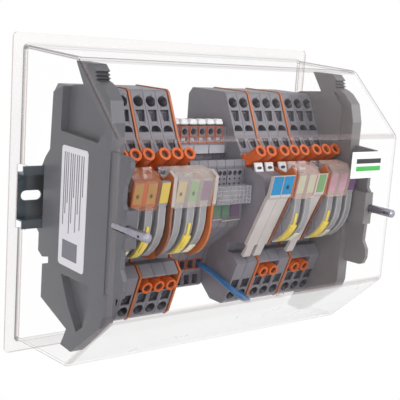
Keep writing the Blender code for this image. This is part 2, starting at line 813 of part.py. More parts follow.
def carrierObject(name, finish, outerFace, towards):
    # One end carrier. towards is +1 where the terminals lie on its +X side.
    inside = outerFace + towards * carrierWidth
    wing = outerFace + towards * wingSetback
    foot = [(footBack, -19.0 * mm)] + carrierFoot()
    body = addObject(name, ordered(name, carrierOutline + foot, outerFace, inside), finish)
    boss = [
        (71.0 * mm, pinHeight + bossHalfHeight), (bossDepth, pinHeight + bossHalfHeight - 0.5 * mm),
        (bossDepth, pinHeight + 0.5 * mm - bossHalfHeight), (71.0 * mm, pinHeight - bossHalfHeight)]
    joins = [
        cutter("wing", ordered("wing", wingOutline, wing, wing + towards * wingThickness)),
        cutter("boss", ordered("boss", boss, wing + towards * 0.2 * mm, inside - towards * 0.2 * mm)),
    ]
    cuts = []
    for outline in (upperPocket, lowerPocket):
        start = outerFace - towards * 1.0 * mm
        cuts.append(cutter("pocket", ordered("pocket", outline, start, outerFace + towards * pocketDepth)))
    start = inside + towards * 1.0 * mm
    cuts.append(cutter("pocket", ordered("pocket", innerPocket, start, inside - towards * innerPocketDepth)))
    for item in joins:
        boolean(body, item, "UNION")
    seat = cylinderMesh("pin_seat", pinDiameter + 2 * gap, pinShank + 2 * mm)
    place = aim(bossDepth - pinShank - gap, pinHeight, (1.0, 0.0), outerFace + towards * pinInset)
    cuts.append(cutter("pin_seat", seat, place))
    for item in cuts:
        boolean(body, item)
    settle(body, cuts + joins)
    return body


def ordered(name, outline, first, second):
    return prismMesh(name, outline, min(first, second), max(first, second))


def pinObject(name, finish, x):
    # A sealing pin: domed tip and a cross hole for the sealing wire.
    length = pinTipDepth - bossDepth + pinShank
    work = bmesh.new()
    radius = pinDiameter / 2
    profile = [(0.0, 0.0), (radius, 0.0), (radius, length - 1.2 * mm), (radius * 0.72, length - 0.3 * mm),
               (0.0, length)]
    rings = []
    for reach, height in profile[1:-1]:
        rings.append([
            work.verts.new((reach * math.cos(turn), reach * math.sin(turn), height))
            for turn in (2 * math.pi * step / roundSteps for step in range(roundSteps))])
    for lower, upper in zip(rings, rings[1:]):
        for index in range(roundSteps):
            after = (index + 1) % roundSteps
            work.faces.new((lower[index], lower[after], upper[after], upper[index]))
    work.faces.new(rings[0])
    tip = work.verts.new((0.0, 0.0, length))
    for index in range(roundSteps):
        work.faces.new((rings[-1][index], rings[-1][(index + 1) % roundSteps], tip))
    mesh = bpy.data.meshes.new(name)
    work.to_mesh(mesh)
    work.free()
    outward(mesh)
    mesh.transform(aim(bossDepth - pinShank, pinHeight, (1.0, 0.0), x))
    body = addObject(name, mesh, finish)
    hole = cylinderMesh("wire_hole", pinHole, pinDiameter + 2 * mm, 10)
    place = Matrix.Translation((x - pinDiameter / 2 - mm, pinHoleSetback - pinTipDepth, pinHeight))
    bore = cutter("wire_hole", hole, place @ Matrix.Rotation(math.pi / 2, 4, "Y"))
    boolean(body, bore)
    roundedMesh(settle(body, [bore]))
    return body


def plateObject(name, finish, outline, start, width, thickness):
    # A thin plate in the middle of the space that the housings leave for it.
    middle = start + width / 2
    return addObject(name, prismMesh(name, outline, middle - thickness / 2, middle + thickness / 2), finish)


def smoothPoints(points, steps):
    # Points on a smooth curve through the given ones.
    padded = [points[0]] + points + [points[-1]]
    smooth = []
    for index in range(1, len(padded) - 2):
        before, start, end, after = (Vector(item) for item in padded[index - 1:index + 3])
        for step in range(steps):
            t = step / steps
            smooth.append(
                0.5 * (2 * start + (end - before) * t
                       + (2 * before - 5 * start + 4 * end - after) * t * t
                       + (3 * start - before - 3 * end + after) * t * t * t))
    return smooth + [Vector(points[-1])]


def leadObject(name, finish, start, end):
    # The insulated lead: out of the last middle terminal, past the next housing's corner,
    # and into the lower entry of the one after it.
    edge = end - 1.5 * pitch - wireDiameter / 2 - 2 * gap
    into = inwardNormal(ledgeFront, lowerFaceEnd)
    mouth = along(ledgeFront, lowerFaceEnd, lowerEntryHeight)
    route = [
        (start, 28.4 * mm, -41.9 * mm), (start, 33.0 * mm, -41.9 * mm),
        (edge - 0.8 * mm, 42.0 * mm, -42.8 * mm), (edge, 52.0 * mm, -46.2 * mm),
        (edge + 1.2 * mm, 60.0 * mm, -50.0 * mm), (edge + 5.4 * mm, 64.4 * mm, -54.4 * mm),
        (edge + 10.4 * mm, 62.4 * mm, -57.8 * mm),
    ]
    for reach in (-4.6 * mm, 0.0, 5.0 * mm):
        route.append((end, mouth[0] + reach * into[0], mouth[1] + reach * into[1]))
    points = [(x, -depth, height) for x, depth, height in route]
    curve = bpy.data.curves.new(name, "CURVE")
    curve.dimensions = "3D"
    curve.bevel_depth = wireDiameter / 2
    curve.bevel_resolution = 2
    curve.use_fill_caps = True
    spline = curve.splines.new("POLY")
    smooth = smoothPoints(points, 2)
    spline.points.add(len(smooth) - 1)
    for point, place in zip(spline.points, smooth):
        point.co = (*place, 1.0)
    curve.materials.append(finish)
    made = bpy.data.objects.new(name, curve)
    bpy.context.scene.collection.objects.link(made)
    return made


def layOut():
    # Places along the rail, from the left carrier's outer face.
    places = {"carrierLeft": stackLeft}
    x = stackLeft + carrierWidth + gap
    left = []
    for index in range(6):
        if index == 3:
            places["separatorLeft"] = x
            x += separatorWidth
        left.append(x + pitch / 2)
        x += pitch
    places["left"] = left
    places["endPlate"] = x
    x += endPlateWidth
    places["small"] = [x + smallPitch * (index + 0.5) for index in range(smallCount)]
    x += smallPitch * smallCount
    places["smallEnd"] = x
    x += smallEndPlate
    right = []
    for index in range(8):
        if index in (2, 5):
            places["separator" + str(index)] = x
            x += separatorWidth
        right.append(x + pitch / 2)
        x += pitch
    places["right"] = right
    places["carrierRight"] = x + gap + carrierWidth
    return places


def main():
    for old in list(bpy.data.objects):
        bpy.data.objects.remove(old, do_unlink=True)
    grey = material("grey_moulding", "#8A8A90", 0.5)
    darkGrey = material("carrier_moulding", "#5E5E62", 0.5)
    leverGrey = material("lever_moulding", "#A8A6A6", 0.45)
    orange = material("orange_moulding", "#E8602C", 0.45)
    zinc = material("zinc_steel", "#6E767A", 0.35, 1.0)
    steel = material("bright_steel", "#B8B6C0", 0.3, 1.0)
    clear = material("clear_hood_plastic", "#F0E8E8", 0.05, 0.0, 0.25)
    capClear = material("clear_cap_plastic", "#E8E0D8", 0.1, 0.0, 0.5)
    capOrange = material("tinted_cap_plastic", "#D0683C", 0.1, 0.0, 0.6)
    blue = material("blue_insulation", "#3F6FA0", 0.4)
    places = layOut()
    pins = [places["carrierLeft"] + pinInset, places["carrierRight"] - pinInset]

    railObject(zinc)
    hoodObject(clear, pins)
    carrierObject("left_carrier", darkGrey, places["carrierLeft"], 1)
    carrierObject("right_carrier", darkGrey, places["carrierRight"], -1)
    pinObject("left_seal_pin", steel, pins[0])
    pinObject("right_seal_pin", steel, pins[1])

    plain = housingMesh("housing_plain", False, False)
    socketed = housingMesh("housing_socketed", False, True)
    straight = housingMesh("housing_straight", True, False)
    lever = leverMesh("lever")
    front = frontMesh("front")
    for mesh in (plain, socketed, straight):
        mesh.materials.append(grey)
    for mesh in (lever, front):
        mesh.materials.append(leverGrey)
    for group, meshes in (
            ("left", (plain, plain, plain, socketed, socketed, socketed)),
            ("right", (straight, straight, socketed, socketed, straight, socketed, socketed, plain))):
        for number, (x, mesh) in enumerate(zip(places[group], meshes), 1):
            addObject(f"{group}_terminal_{number}", mesh, location=(x, 0.0, 0.0))
            if mesh is straight:
                addObject(f"{group}_front_{number}", front, location=(x, 0.0, 0.0))
            else:
                addObject(f"{group}_lever_{number}", lever, location=(x, -pivotDepth, pivotHeight))

    left, right = places["left"], places["right"]
    capObject("left_cap_tinted", capOrange, left[0], left[1])
    capObject("left_cap_clear", capClear, left[3], left[5])
    capObject("right_cap_inner", capClear, right[2], right[3])
    capObject("right_cap_outer", capClear, right[5], right[6])

    socketStrip("left_sockets_a", orange, left[:3], False)
    socketStrip("left_sockets_b", orange, left[3:], False)
    socketStrip("right_sockets_a", orange, right[:2], False)
    socketStrip("right_sockets_b", orange, right[2:5], False)
    socketStrip("right_sockets_c", orange, right[5:], False)
    socketStrip("left_lower_sockets", orange, left[3:], True)
    socketStrip("right_lower_sockets_a", orange, right[2:4], True)
    socketStrip("right_lower_sockets_b", orange, right[5:7], True)

    for name, key, width, isStraight in (
            ("left_separator", "separatorLeft", separatorWidth, False),
            ("left_end_plate", "endPlate", endPlateWidth, False),
            ("right_separator_a", "separator2", separatorWidth, True),
            ("right_separator_b", "separator5", separatorWidth, True)):
        plateObject(name, orange, separatorOutline(isStraight), places[key], width, plateThickness)
    plateObject(
        "middle_end_plate", darkGrey, smallOutline(), places["smallEnd"], smallEndPlate,
        smallEndPlate - gap)

    small = smallHousingMesh("housing_small")
    small.materials.append(grey)
    for number, x in enumerate(places["small"], 1):
        addObject(f"middle_terminal_{number}", small, location=(x, 0.0, 0.0))
    leadObject("insulated_lead", blue, places["small"][-1], right[1])


main()
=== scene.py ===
# Measuring terminal strip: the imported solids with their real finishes, and the small parts on them.
# Places are written in millimetres as (x, depth, height); depth counts from the rail's back.

import math

import bmesh
import bpy
from mathutils import Matrix, Vector


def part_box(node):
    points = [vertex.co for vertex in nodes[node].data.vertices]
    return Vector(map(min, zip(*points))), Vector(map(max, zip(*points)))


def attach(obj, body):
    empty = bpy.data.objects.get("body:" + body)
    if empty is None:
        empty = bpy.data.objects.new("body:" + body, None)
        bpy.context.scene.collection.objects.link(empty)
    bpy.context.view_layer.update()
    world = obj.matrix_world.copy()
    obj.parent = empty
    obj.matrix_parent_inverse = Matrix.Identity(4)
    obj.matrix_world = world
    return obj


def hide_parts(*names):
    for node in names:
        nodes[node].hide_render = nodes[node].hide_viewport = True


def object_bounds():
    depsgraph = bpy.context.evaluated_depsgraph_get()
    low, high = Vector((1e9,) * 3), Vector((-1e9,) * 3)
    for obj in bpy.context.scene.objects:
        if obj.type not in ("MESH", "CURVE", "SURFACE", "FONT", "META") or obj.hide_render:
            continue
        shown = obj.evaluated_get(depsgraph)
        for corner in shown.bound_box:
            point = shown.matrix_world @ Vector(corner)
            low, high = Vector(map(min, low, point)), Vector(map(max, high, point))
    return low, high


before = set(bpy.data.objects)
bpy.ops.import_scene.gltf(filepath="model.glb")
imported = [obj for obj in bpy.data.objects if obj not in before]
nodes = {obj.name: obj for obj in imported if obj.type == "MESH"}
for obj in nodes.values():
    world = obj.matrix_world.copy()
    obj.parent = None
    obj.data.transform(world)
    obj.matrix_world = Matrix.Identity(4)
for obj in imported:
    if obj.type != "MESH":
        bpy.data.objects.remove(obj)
cadLow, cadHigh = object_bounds()
mm = 0.001
print("scene: solids loaded")


# Helpers for modelling

def clearSelection():
    if bpy.context.object is not None and bpy.context.object.mode != "OBJECT":
        bpy.ops.object.mode_set(mode="OBJECT")
    bpy.ops.object.select_all(action="DESELECT")


def makeActive(piece):
    clearSelection()
    piece.select_set(True)
    bpy.context.view_layer.objects.active = piece


def place(x, depth, height):
    return Vector((x * mm, -depth * mm, height * mm))


def startBox(name, low, high):
    # A block between two corners, its place in its mesh.
    clearSelection()
    first, second = place(*low), place(*high)
    bpy.ops.mesh.primitive_cube_add(size=1.0, location=(first + second) / 2)
    piece = bpy.context.object
    piece.name = name
    piece.scale = [abs(b - a) for a, b in zip(first, second)]
    bpy.ops.object.transform_apply(location=True, rotation=True, scale=True)
    return piece


def startSlab(name, ends, depths, heights):
    # A block given by its spans along x, in depth and in height.
    return startBox(name, (ends[0], depths[0], heights[0]), (ends[1], depths[1], heights[1]))


def startOutline(name, outline, xStart, xEnd):
    # A plate with the given side view, (depth, height) points, pulled out along x.
    clearSelection()
    bpy.ops.mesh.primitive_circle_add(vertices=len(outline), radius=0.01, fill_type="NGON")
    piece = bpy.context.object
    piece.name = name
    for vertex, (depth, height) in zip(piece.data.vertices, outline):
        vertex.co = place(xStart, depth, height)
    bpy.ops.object.mode_set(mode="EDIT")
    bpy.ops.mesh.select_all(action="SELECT")
    bpy.ops.mesh.extrude_region_move(TRANSFORM_OT_translate={"value": ((xEnd - xStart) * mm, 0.0, 0.0)})
    bpy.ops.mesh.select_all(action="SELECT")
    bpy.ops.mesh.normals_make_consistent(inside=False)
    bpy.ops.object.mode_set(mode="OBJECT")
    return piece


def startDisc(name, centre, radius, thickness, tilt=0.0, squeeze=1.0, steps=16):
    # A short round pin facing out of the panel; tilt in degrees leans its face downwards.
    clearSelection()
    bpy.ops.mesh.primitive_cylinder_add(
        vertices=steps, radius=radius * mm, depth=thickness * mm, location=place(*centre),
        rotation=(math.radians(90.0 + tilt), 0.0, 0.0))
    piece = bpy.context.object
    piece.name = name
    piece.scale = (squeeze, 1.0, 1.0)
    bpy.ops.object.transform_apply(location=True, rotation=True, scale=True)
    return piece


def joinAll(name, parts):
    clearSelection()
    for part in parts:
        part.select_set(True)
    bpy.context.view_layer.objects.active = parts[0]
    if len(parts) > 1:
        bpy.ops.object.join()
    parts[0].name = name
    return parts[0]


def selectParts(piece, kind, test):
    # In edit mode: selects the faces or edges that pass the test.
    bpy.ops.mesh.select_mode(type=kind)
    bpy.ops.mesh.select_all(action="DESELECT")
    mesh = bmesh.from_edit_mesh(piece.data)
    mesh.normal_update()
    for part in mesh.faces if kind == "FACE" else mesh.edges:
        if test(part):
            part.select_set(True)
    bmesh.update_edit_mesh(piece.data)


def insetFront(piece, rim, sink):
    # Gives the faces that look out of the panel a raised rim, pushed in by sink inside it.
    makeActive(piece)
    bpy.ops.object.mode_set(mode="EDIT")
    selectParts(piece, "FACE", lambda face: face.normal.y < -0.8)
    bpy.ops.mesh.inset(thickness=rim * mm, depth=-sink * mm)
    bpy.ops.object.mode_set(mode="OBJECT")
    return piece


def roundEdges(piece, width, segments=2):
    # Rounds the edges sharper than 40 degrees by a width in millimetres.
    makeActive(piece)
    step = piece.modifiers.new("Rounding", "BEVEL")
    step.width = width * mm
    step.segments = segments
    step.limit_method = "ANGLE"
    step.angle_limit = math.radians(40.0)
    bpy.ops.object.modifier_apply(modifier=step.name)
    return piece


def cutWith(piece, cutters, finish=None):
    # Takes the cutters out of the piece; the new faces get the finish.
    cutter = joinAll("cutter", cutters)
    makeActive(piece)
    step = piece.modifiers.new("Cut", "BOOLEAN")
    if finish is not None:
        cutter.data.materials.append(finish)
        step.material_mode = "TRANSFER"
    step.operation = "DIFFERENCE"
    step.solver = "EXACT"
    step.use_self = True
    step.object = cutter
    bpy.ops.object.modifier_apply(modifier=step.name)
    bpy.data.objects.remove(cutter, do_unlink=True)
    return piece


def settle(piece, body, slot, *finishes, smooth=35.0):
    # Finishes, shading up to an angle, and the body that the piece moves with; the slot is not used.
    makeActive(piece)
    if not piece.data.materials:
        for finish in finishes:
            piece.data.materials.append(finish)
    bpy.ops.object.shade_smooth_by_angle(angle=math.radians(smooth))
    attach(piece, body)
    return piece


# Finishes

def colour(hexText):
    # sRGB hex to linear values.
    values = []
    for index in (1, 3, 5):
        channel = int(hexText[index:index + 2], 16) / 255
        values.append(channel / 12.92 if channel <= 0.04045 else ((channel + 0.055) / 1.055) ** 2.4)
    return (*values, 1.0)


def addNode(tree, kind, settings=None, links=None):
    node = tree.nodes.new(kind)
    for key, value in (settings or {}).items():
        if isinstance(key, int) or key in node.inputs:
            node.inputs[key].default_value = value
        else:
            setattr(node, key, value)
    for key, source in (links or {}).items():
        tree.links.new(source, node.inputs[key])
    return node


def shaded(finish, darkHex, lightHex, blotch, grain, depth, roughness, spread=0.08, stretch=None):
    # Two close tones in soft blotches, a fine grain as bump, and uneven roughness.
    # blotch and grain are sizes in millimetres, depth is the grain's height in millimetres.
    tree = finish.node_tree
    shader = tree.nodes["Principled BSDF"]
    where = addNode(tree, "ShaderNodeTexCoord").outputs["Object"]
    if stretch:
        where = addNode(
            tree, "ShaderNodeMapping", {"Scale": stretch}, {"Vector": where}).outputs["Vector"]
    cloud = addNode(
        tree, "ShaderNodeTexNoise", {"Scale": 1000.0 / blotch, "Detail": 3.0, "Roughness": 0.6},
        {"Vector": where})
    fine = addNode(
        tree, "ShaderNodeTexNoise", {"Scale": 1000.0 / grain, "Detail": 2.0}, {"Vector": where})
    tone = addNode(
        tree, "ShaderNodeMix", {"data_type": "RGBA", 6: colour(darkHex), 7: colour(lightHex)},
        {0: cloud.outputs["Fac"]})
    uneven = addNode(
        tree, "ShaderNodeMapRange",
        {"From Min": 0.3, "From Max": 0.7, "To Min": roughness - spread, "To Max": roughness + spread},
        {"Value": cloud.outputs["Fac"]})
    bump = addNode(
        tree, "ShaderNodeBump", {"Strength": 0.6, "Distance": depth * mm},
        {"Height": fine.outputs["Fac"]})
    tree.links.new(tone.outputs[2], shader.inputs["Base Color"])
    tree.links.new(uneven.outputs["Result"], shader.inputs["Roughness"])
    tree.links.new(bump.outputs["Normal"], shader.inputs["Normal"])
    return shader


def newFinish(name):
    finish = bpy.data.materials.new(name)
    finish.use_nodes = True
    return finish


def mouldedPlastic(name, darkHex, lightHex, roughness, grain=0.9, depth=0.05, blotch=9.0):
    # Injection-moulded plastic: eroded tool surface, soft sheen, slight flow marks in the tone.
    finish = newFinish(name)
    shader = shaded(finish, darkHex, lightHex, blotch, grain, depth, roughness)
    shader.inputs["IOR"].default_value = 1.5
    return finish


def printedCard(name, darkHex, lightHex):
    # Card stock with flat printed colour: nearly smooth and matt.
    return mouldedPlastic(name, darkHex, lightHex, 0.5, 0.8, 0.02)


def platedMetal(name, darkHex, lightHex, roughness, stretch):
    # Plated steel: rolled or turned marks drawn out along the part under a bright thin coat.
    finish = newFinish(name)
    shader = shaded(finish, darkHex, lightHex, 14.0, 1.2, 0.02, roughness, 0.1, stretch)
    shader.inputs["Metallic"].default_value = 1.0
    return finish


def clearPlastic(name, darkHex, lightHex, facing, grazing, roughness=0.08, falloff=2.0):
    # Clear sheet: nearly nothing seen square on, milky and shiny along its folds and edges.
    finish = newFinish(name)
    shader = shaded(finish, darkHex, lightHex, 22.0, 7.0, 0.06, roughness, 0.04)
    tree = finish.node_tree
    weight = addNode(tree, "ShaderNodeLayerWeight", {"Blend": 0.4})
    curve = addNode(
        tree, "ShaderNodeMath", {"operation": "POWER", 1: falloff}, {0: weight.outputs["Facing"]})
    veil = addNode(
        tree, "ShaderNodeMapRange", {"To Min": facing, "To Max": grazing}, {"Value": curve.outputs[0]})
    tree.links.new(veil.outputs["Result"], shader.inputs["Alpha"])
    shader.inputs["IOR"].default_value = 1.57
    return finish


housingGrey = mouldedPlastic("housingPolyamide", "#77747C", "#8A8890", 0.46)
# Painted shade: a darker tone on the walls of the entries and tool slots, where the recesses lie in
# shade.
entryPaintedShade = mouldedPlastic("housingEntryPaintedShade", "#4C4A50", "#5C5A60", 0.5)
# Painted light and shade: one carrier plastic in two tones. The darker is for the left carrier, whose
# outer face lies in shade, and the lighter is for the right carrier, lit from the front.
carrierPaintedShade = mouldedPlastic("carrierPolyamide", "#57575C", "#66656B", 0.42, 1.3, 0.07, 16.0)
carrierPaintedLight = mouldedPlastic("carrierPolyamidePaintedLight", "#747072", "#848082", 0.42, 1.3, 0.07, 16.0)
leverGrey = mouldedPlastic("leverPolyamide", "#858387", "#98969A", 0.4)
frontGrey = mouldedPlastic("frontPolyamide", "#B8B0AE", "#C8C2C0", 0.4)
rimGrey = mouldedPlastic("leverRimPolyamide", "#A6A4A4", "#BAB8B6", 0.34, 0.8, 0.03)
rimCream = mouldedPlastic("leverRimCream", "#DAD4B4", "#EDE8CE", 0.34, 0.8, 0.03)
socketOrange = mouldedPlastic("socketPolycarbonate", "#CC5C26", "#DC6E34", 0.34, 0.8, 0.03)
# Painted shade: a dark brown for the discs down the test sockets' bores, where the contacts lie in
# shadow.
socketPaintedShade = mouldedPlastic("socketBorePaintedShade", "#42221A", "#523024", 0.4)
plateOrange = mouldedPlastic("separatorPolyamide", "#B66236", "#C67244", 0.42)
# Painted shade: a browner copy of the separator plastic for the lobes that lie in the levers' shade.
lobePaintedShade = mouldedPlastic("separatorPolyamidePaintedShade", "#82503A", "#946048", 0.46)
holderRed = mouldedPlastic("cardHolderPolyamide", "#B84C26", "#C85C32", 0.42)
rustFrame = mouldedPlastic("middleFramePolyamide", "#9A4E36", "#B86448", 0.42)
markerWhite = mouldedPlastic("markerStripPolyamide", "#E6E6EA", "#F6F6F8", 0.4, 0.8, 0.02)
markerGrey = mouldedPlastic("markerPlateGrey", "#B4B4BA", "#C6C6CC", 0.42, 0.8, 0.02)
# Black print; the same black is also painted shade on the walls of the perforated plates' holes.
printAndShadeBlack = mouldedPlastic("printAndShadeBlack", "#26262A", "#34343A", 0.5, 0.8, 0.01)
gripYellow = mouldedPlastic("gripPolyamideYellow", "#D8BC40", "#EBD468", 0.36, 0.8, 0.03)
cardYellow = printedCard("cardYellow", "#C4A84A", "#D0B860")
cardAmber = printedCard("cardAmber", "#9A8848", "#AC985A")
cardPale = printedCard("cardPaleYellow", "#AE9A68", "#C0AC7C")
cardGreen = printedCard("cardGreen", "#6A9460", "#7EA672")
cardDeepGreen = printedCard("cardDeepGreen", "#3A6C4A", "#4A7E5A")
cardMint = printedCard("cardMint", "#A8B498", "#BAC4AA")
cardViolet = printedCard("cardViolet", "#5E3E66", "#724E78")
cardPink = printedCard("cardPinkViolet", "#B880A0", "#C894B2")
cardBlue = printedCard("cardBlue", "#0A74A8", "#1A8CC0")
leadBlue = mouldedPlastic("leadVinyl", "#34689C", "#427AB0", 0.34, 1.2, 0.03)
labelFilm = mouldedPlastic("labelFilm", "#E6E3EA", "#F0EDF3", 0.38, 1.5, 0.01)
labelPrint = mouldedPlastic("labelPrint", "#6E6C76", "#82808A", 0.5, 0.8, 0.01)
stickerFilm = mouldedPlastic("stickerFilm", "#F2F2F4", "#FAFAFC", 0.35, 1.5, 0.01)
stickerGreen = mouldedPlastic("stickerGreen", "#3FAE4A", "#4CBC56", 0.4, 0.8, 0.01)
railZinc = platedMetal("railZincSteel", "#5A646A", "#828C92", 0.34, (0.15, 1.0, 1.0))
pinSteel = platedMetal("pinNickelSteel", "#8E8C98", "#B0AEBA", 0.32, (1.0, 0.2, 1.0))
hoodSheet = clearPlastic("hoodPetgSheet", "#F4EEEE", "#FAF6F6", 0.0, 0.22, 0.08, 3.0)
# Painted reflection: a milky white on the lower slope, standing in for the white light that slope
# reflects.
hoodPaintedReflection = clearPlastic("hoodPetgPaintedReflection", "#FCFCFC", "#FFFFFF", 0.34, 0.6, 0.3, 1.0)
hoodFlange = clearPlastic("hoodPetgFlange", "#F0E2E2", "#F8EEEE", 0.12, 0.5, 0.08, 1.5)
# Painted shade: a greyer tone on the folds, and near-black lines down the back and along the upper
# folds, for the shade the bent clear sheet shows.
hoodFoldPaintedShade = clearPlastic("hoodPetgFoldPaintedShade", "#8C7C7C", "#B4A4A4", 0.08, 0.6, 0.1, 1.5)
hoodEdge = clearPlastic("hoodPetgEdge", "#B89494", "#D0B4B4", 0.45, 0.8, 0.1, 1.0)
hoodBackFoldPaintedShade = clearPlastic("hoodPetgBackFoldPaintedShade", "#2E2424", "#5A4848", 0.5, 0.9, 0.1, 1.0)
capSheet = clearPlastic("capPolycarbonate", "#E6D6CC", "#F6ECE6", 0.08, 0.7, 0.08, 1.0)
capSide = clearPlastic("capPolycarbonateSide", "#C4BCB8", "#DCD4D0", 0.52, 0.8, 0.08, 1.0)
capPink = clearPlastic("capPolycarbonateRose", "#EAC8BC", "#F2D6CC", 0.1, 0.65, 0.08, 1.0)
capAmber = clearPlastic("capPolycarbonateOrange", "#D07A54", "#DC9472", 0.12, 0.66, 0.08, 1.0)
plateSheet = clearPlastic("middlePolycarbonate", "#C0BCC4", "#D8D4DC", 0.2, 0.7, 0.08, 1.0)
coverSheet = clearPlastic("middleCardCover", "#D8D4DC", "#ECE8F0", 0.02, 0.4, 0.08, 1.5)

nodeFinishes = {
    # the left carrier gets the painted-shade tone, the right carrier the painted-light tone
    "mounting_rail": railZinc, "left_carrier": carrierPaintedShade, "right_carrier": carrierPaintedLight,
    "middle_end_plate": housingGrey, "left_seal_pin": pinSteel, "right_seal_pin": pinSteel,
    "left_cap_tinted": capAmber, "insulated_lead": leadBlue, "right_cap_inner": capPink,
    "right_cap_outer": capPink,
}
wordFinishes = {
    "terminal": housingGrey, "lever": leverGrey, "front": frontGrey, "cap": capSheet,
    "sockets": socketOrange, "separator": plateOrange, "end_plate": plateOrange,
}
# Painted shade: the faces inside this box take the browner copy of the orange plastic.
lobes = {"depth": 64.0, "height": 8.0}  # the plates' lobes lie in the levers' shade and look browner

for name, node in nodes.items():
    words = [word for word in wordFinishes if word in name]
    finish = nodeFinishes.get(name) or (wordFinishes[words[0]] if words else None)
    if finish is not None:
        node.data.materials.clear()
        node.data.materials.append(finish)
    if "separator" in name:
        # the lobes' faces take the painted-shade brown
        node.data.materials.append(lobePaintedShade)
        for face in node.data.polygons:
            inLobe = face.center.y < -lobes["depth"] * mm and face.center.z < lobes["height"] * mm
            face.material_index = 1 if inLobe else 0
print("scene: finishes on the solids")


# Hood: vacuum-formed clear shell with rounded folds, a flange and holes for the sealing pins

hood = {  # shoulder and front are (depth, half height)
    "halfLength": 100.5, "backHalf": 83.0, "back": 1.5, "shoulder": (56.5, 80.0), "front": (95.6, 44.0),
    "draft": 2.6, "flange": 6.6, "wall": 1.3, "drop": 0.8, "foldRadius": 2.4, "backRadius": 1.8,
    "pins": (-87.6, 84.35), "pinHeight": -0.6, "holeRadius": 2.5, "holeCut": 8.0,
    "railHalf": 17.8, "railDepth": 7.8, "railStart": 96.5, "railEnd": 102.4, "railCut": -2.0,
    "rimDepth": 3.2, "foldDepth": 4.0, "uprightDepth": 5.0, "upperHeight": 60.0, "foldAngle": 3.0,
    "segments": 4, "slack": 1.0,
}
hoodTurns = {  # parts of a face's normal that tell the hood's faces apart
    "flat": 0.98, "wall": 0.4, "flange": 0.9, "edge": 0.5, "slopeAcross": 0.1, "slopeOut": (0.6, 0.76),
    "upright": (0.3, 0.85), "upperUp": (0.93, 0.975), "upperAcross": (0.5, 0.8),
}


def within(value, span):
    return span[0] < value < span[1]


def isBackFold(edge):
    # The fold between the flange and the walls.
    turns = sorted(abs(face.normal.y) for face in edge.link_faces)
    atBack = edge.verts[0].co.y > -hood["foldDepth"] * mm
    return len(turns) == 2 and turns[0] < hoodTurns["wall"] and turns[1] > hoodTurns["flange"] and atBack


def hoodFinish(face):
    # Clear sheet on the flats, a milky white on the lower slope as painted reflection, thin dark lines
    # down the back and along the upper folds and a greyer tone on the other folds as painted shade.
    spec, turns = hood, hoodTurns
    across, out, up = (abs(value) for value in face.normal)
    depth, height = -face.center.y / mm, face.center.z / mm
    flat = max(across, out, up) > turns["flat"]
    slope = across < turns["slopeAcross"] and within(out, turns["slopeOut"])
    if flat and depth < spec["rimDepth"]:
        return hoodEdge if out < turns["edge"] else hoodFlange
    if slope and height < -spec["front"][1] and depth > spec["shoulder"][0]:
        return hoodPaintedReflection
    if flat or slope:
        return hoodSheet
    upright = depth < spec["uprightDepth"] and within(across, turns["upright"])
    upper = height > spec["upperHeight"] and (
        within(face.normal.z, turns["upperUp"]) or within(across, turns["upperAcross"]))
    return hoodBackFoldPaintedShade if upright or upper else hoodFoldPaintedShade


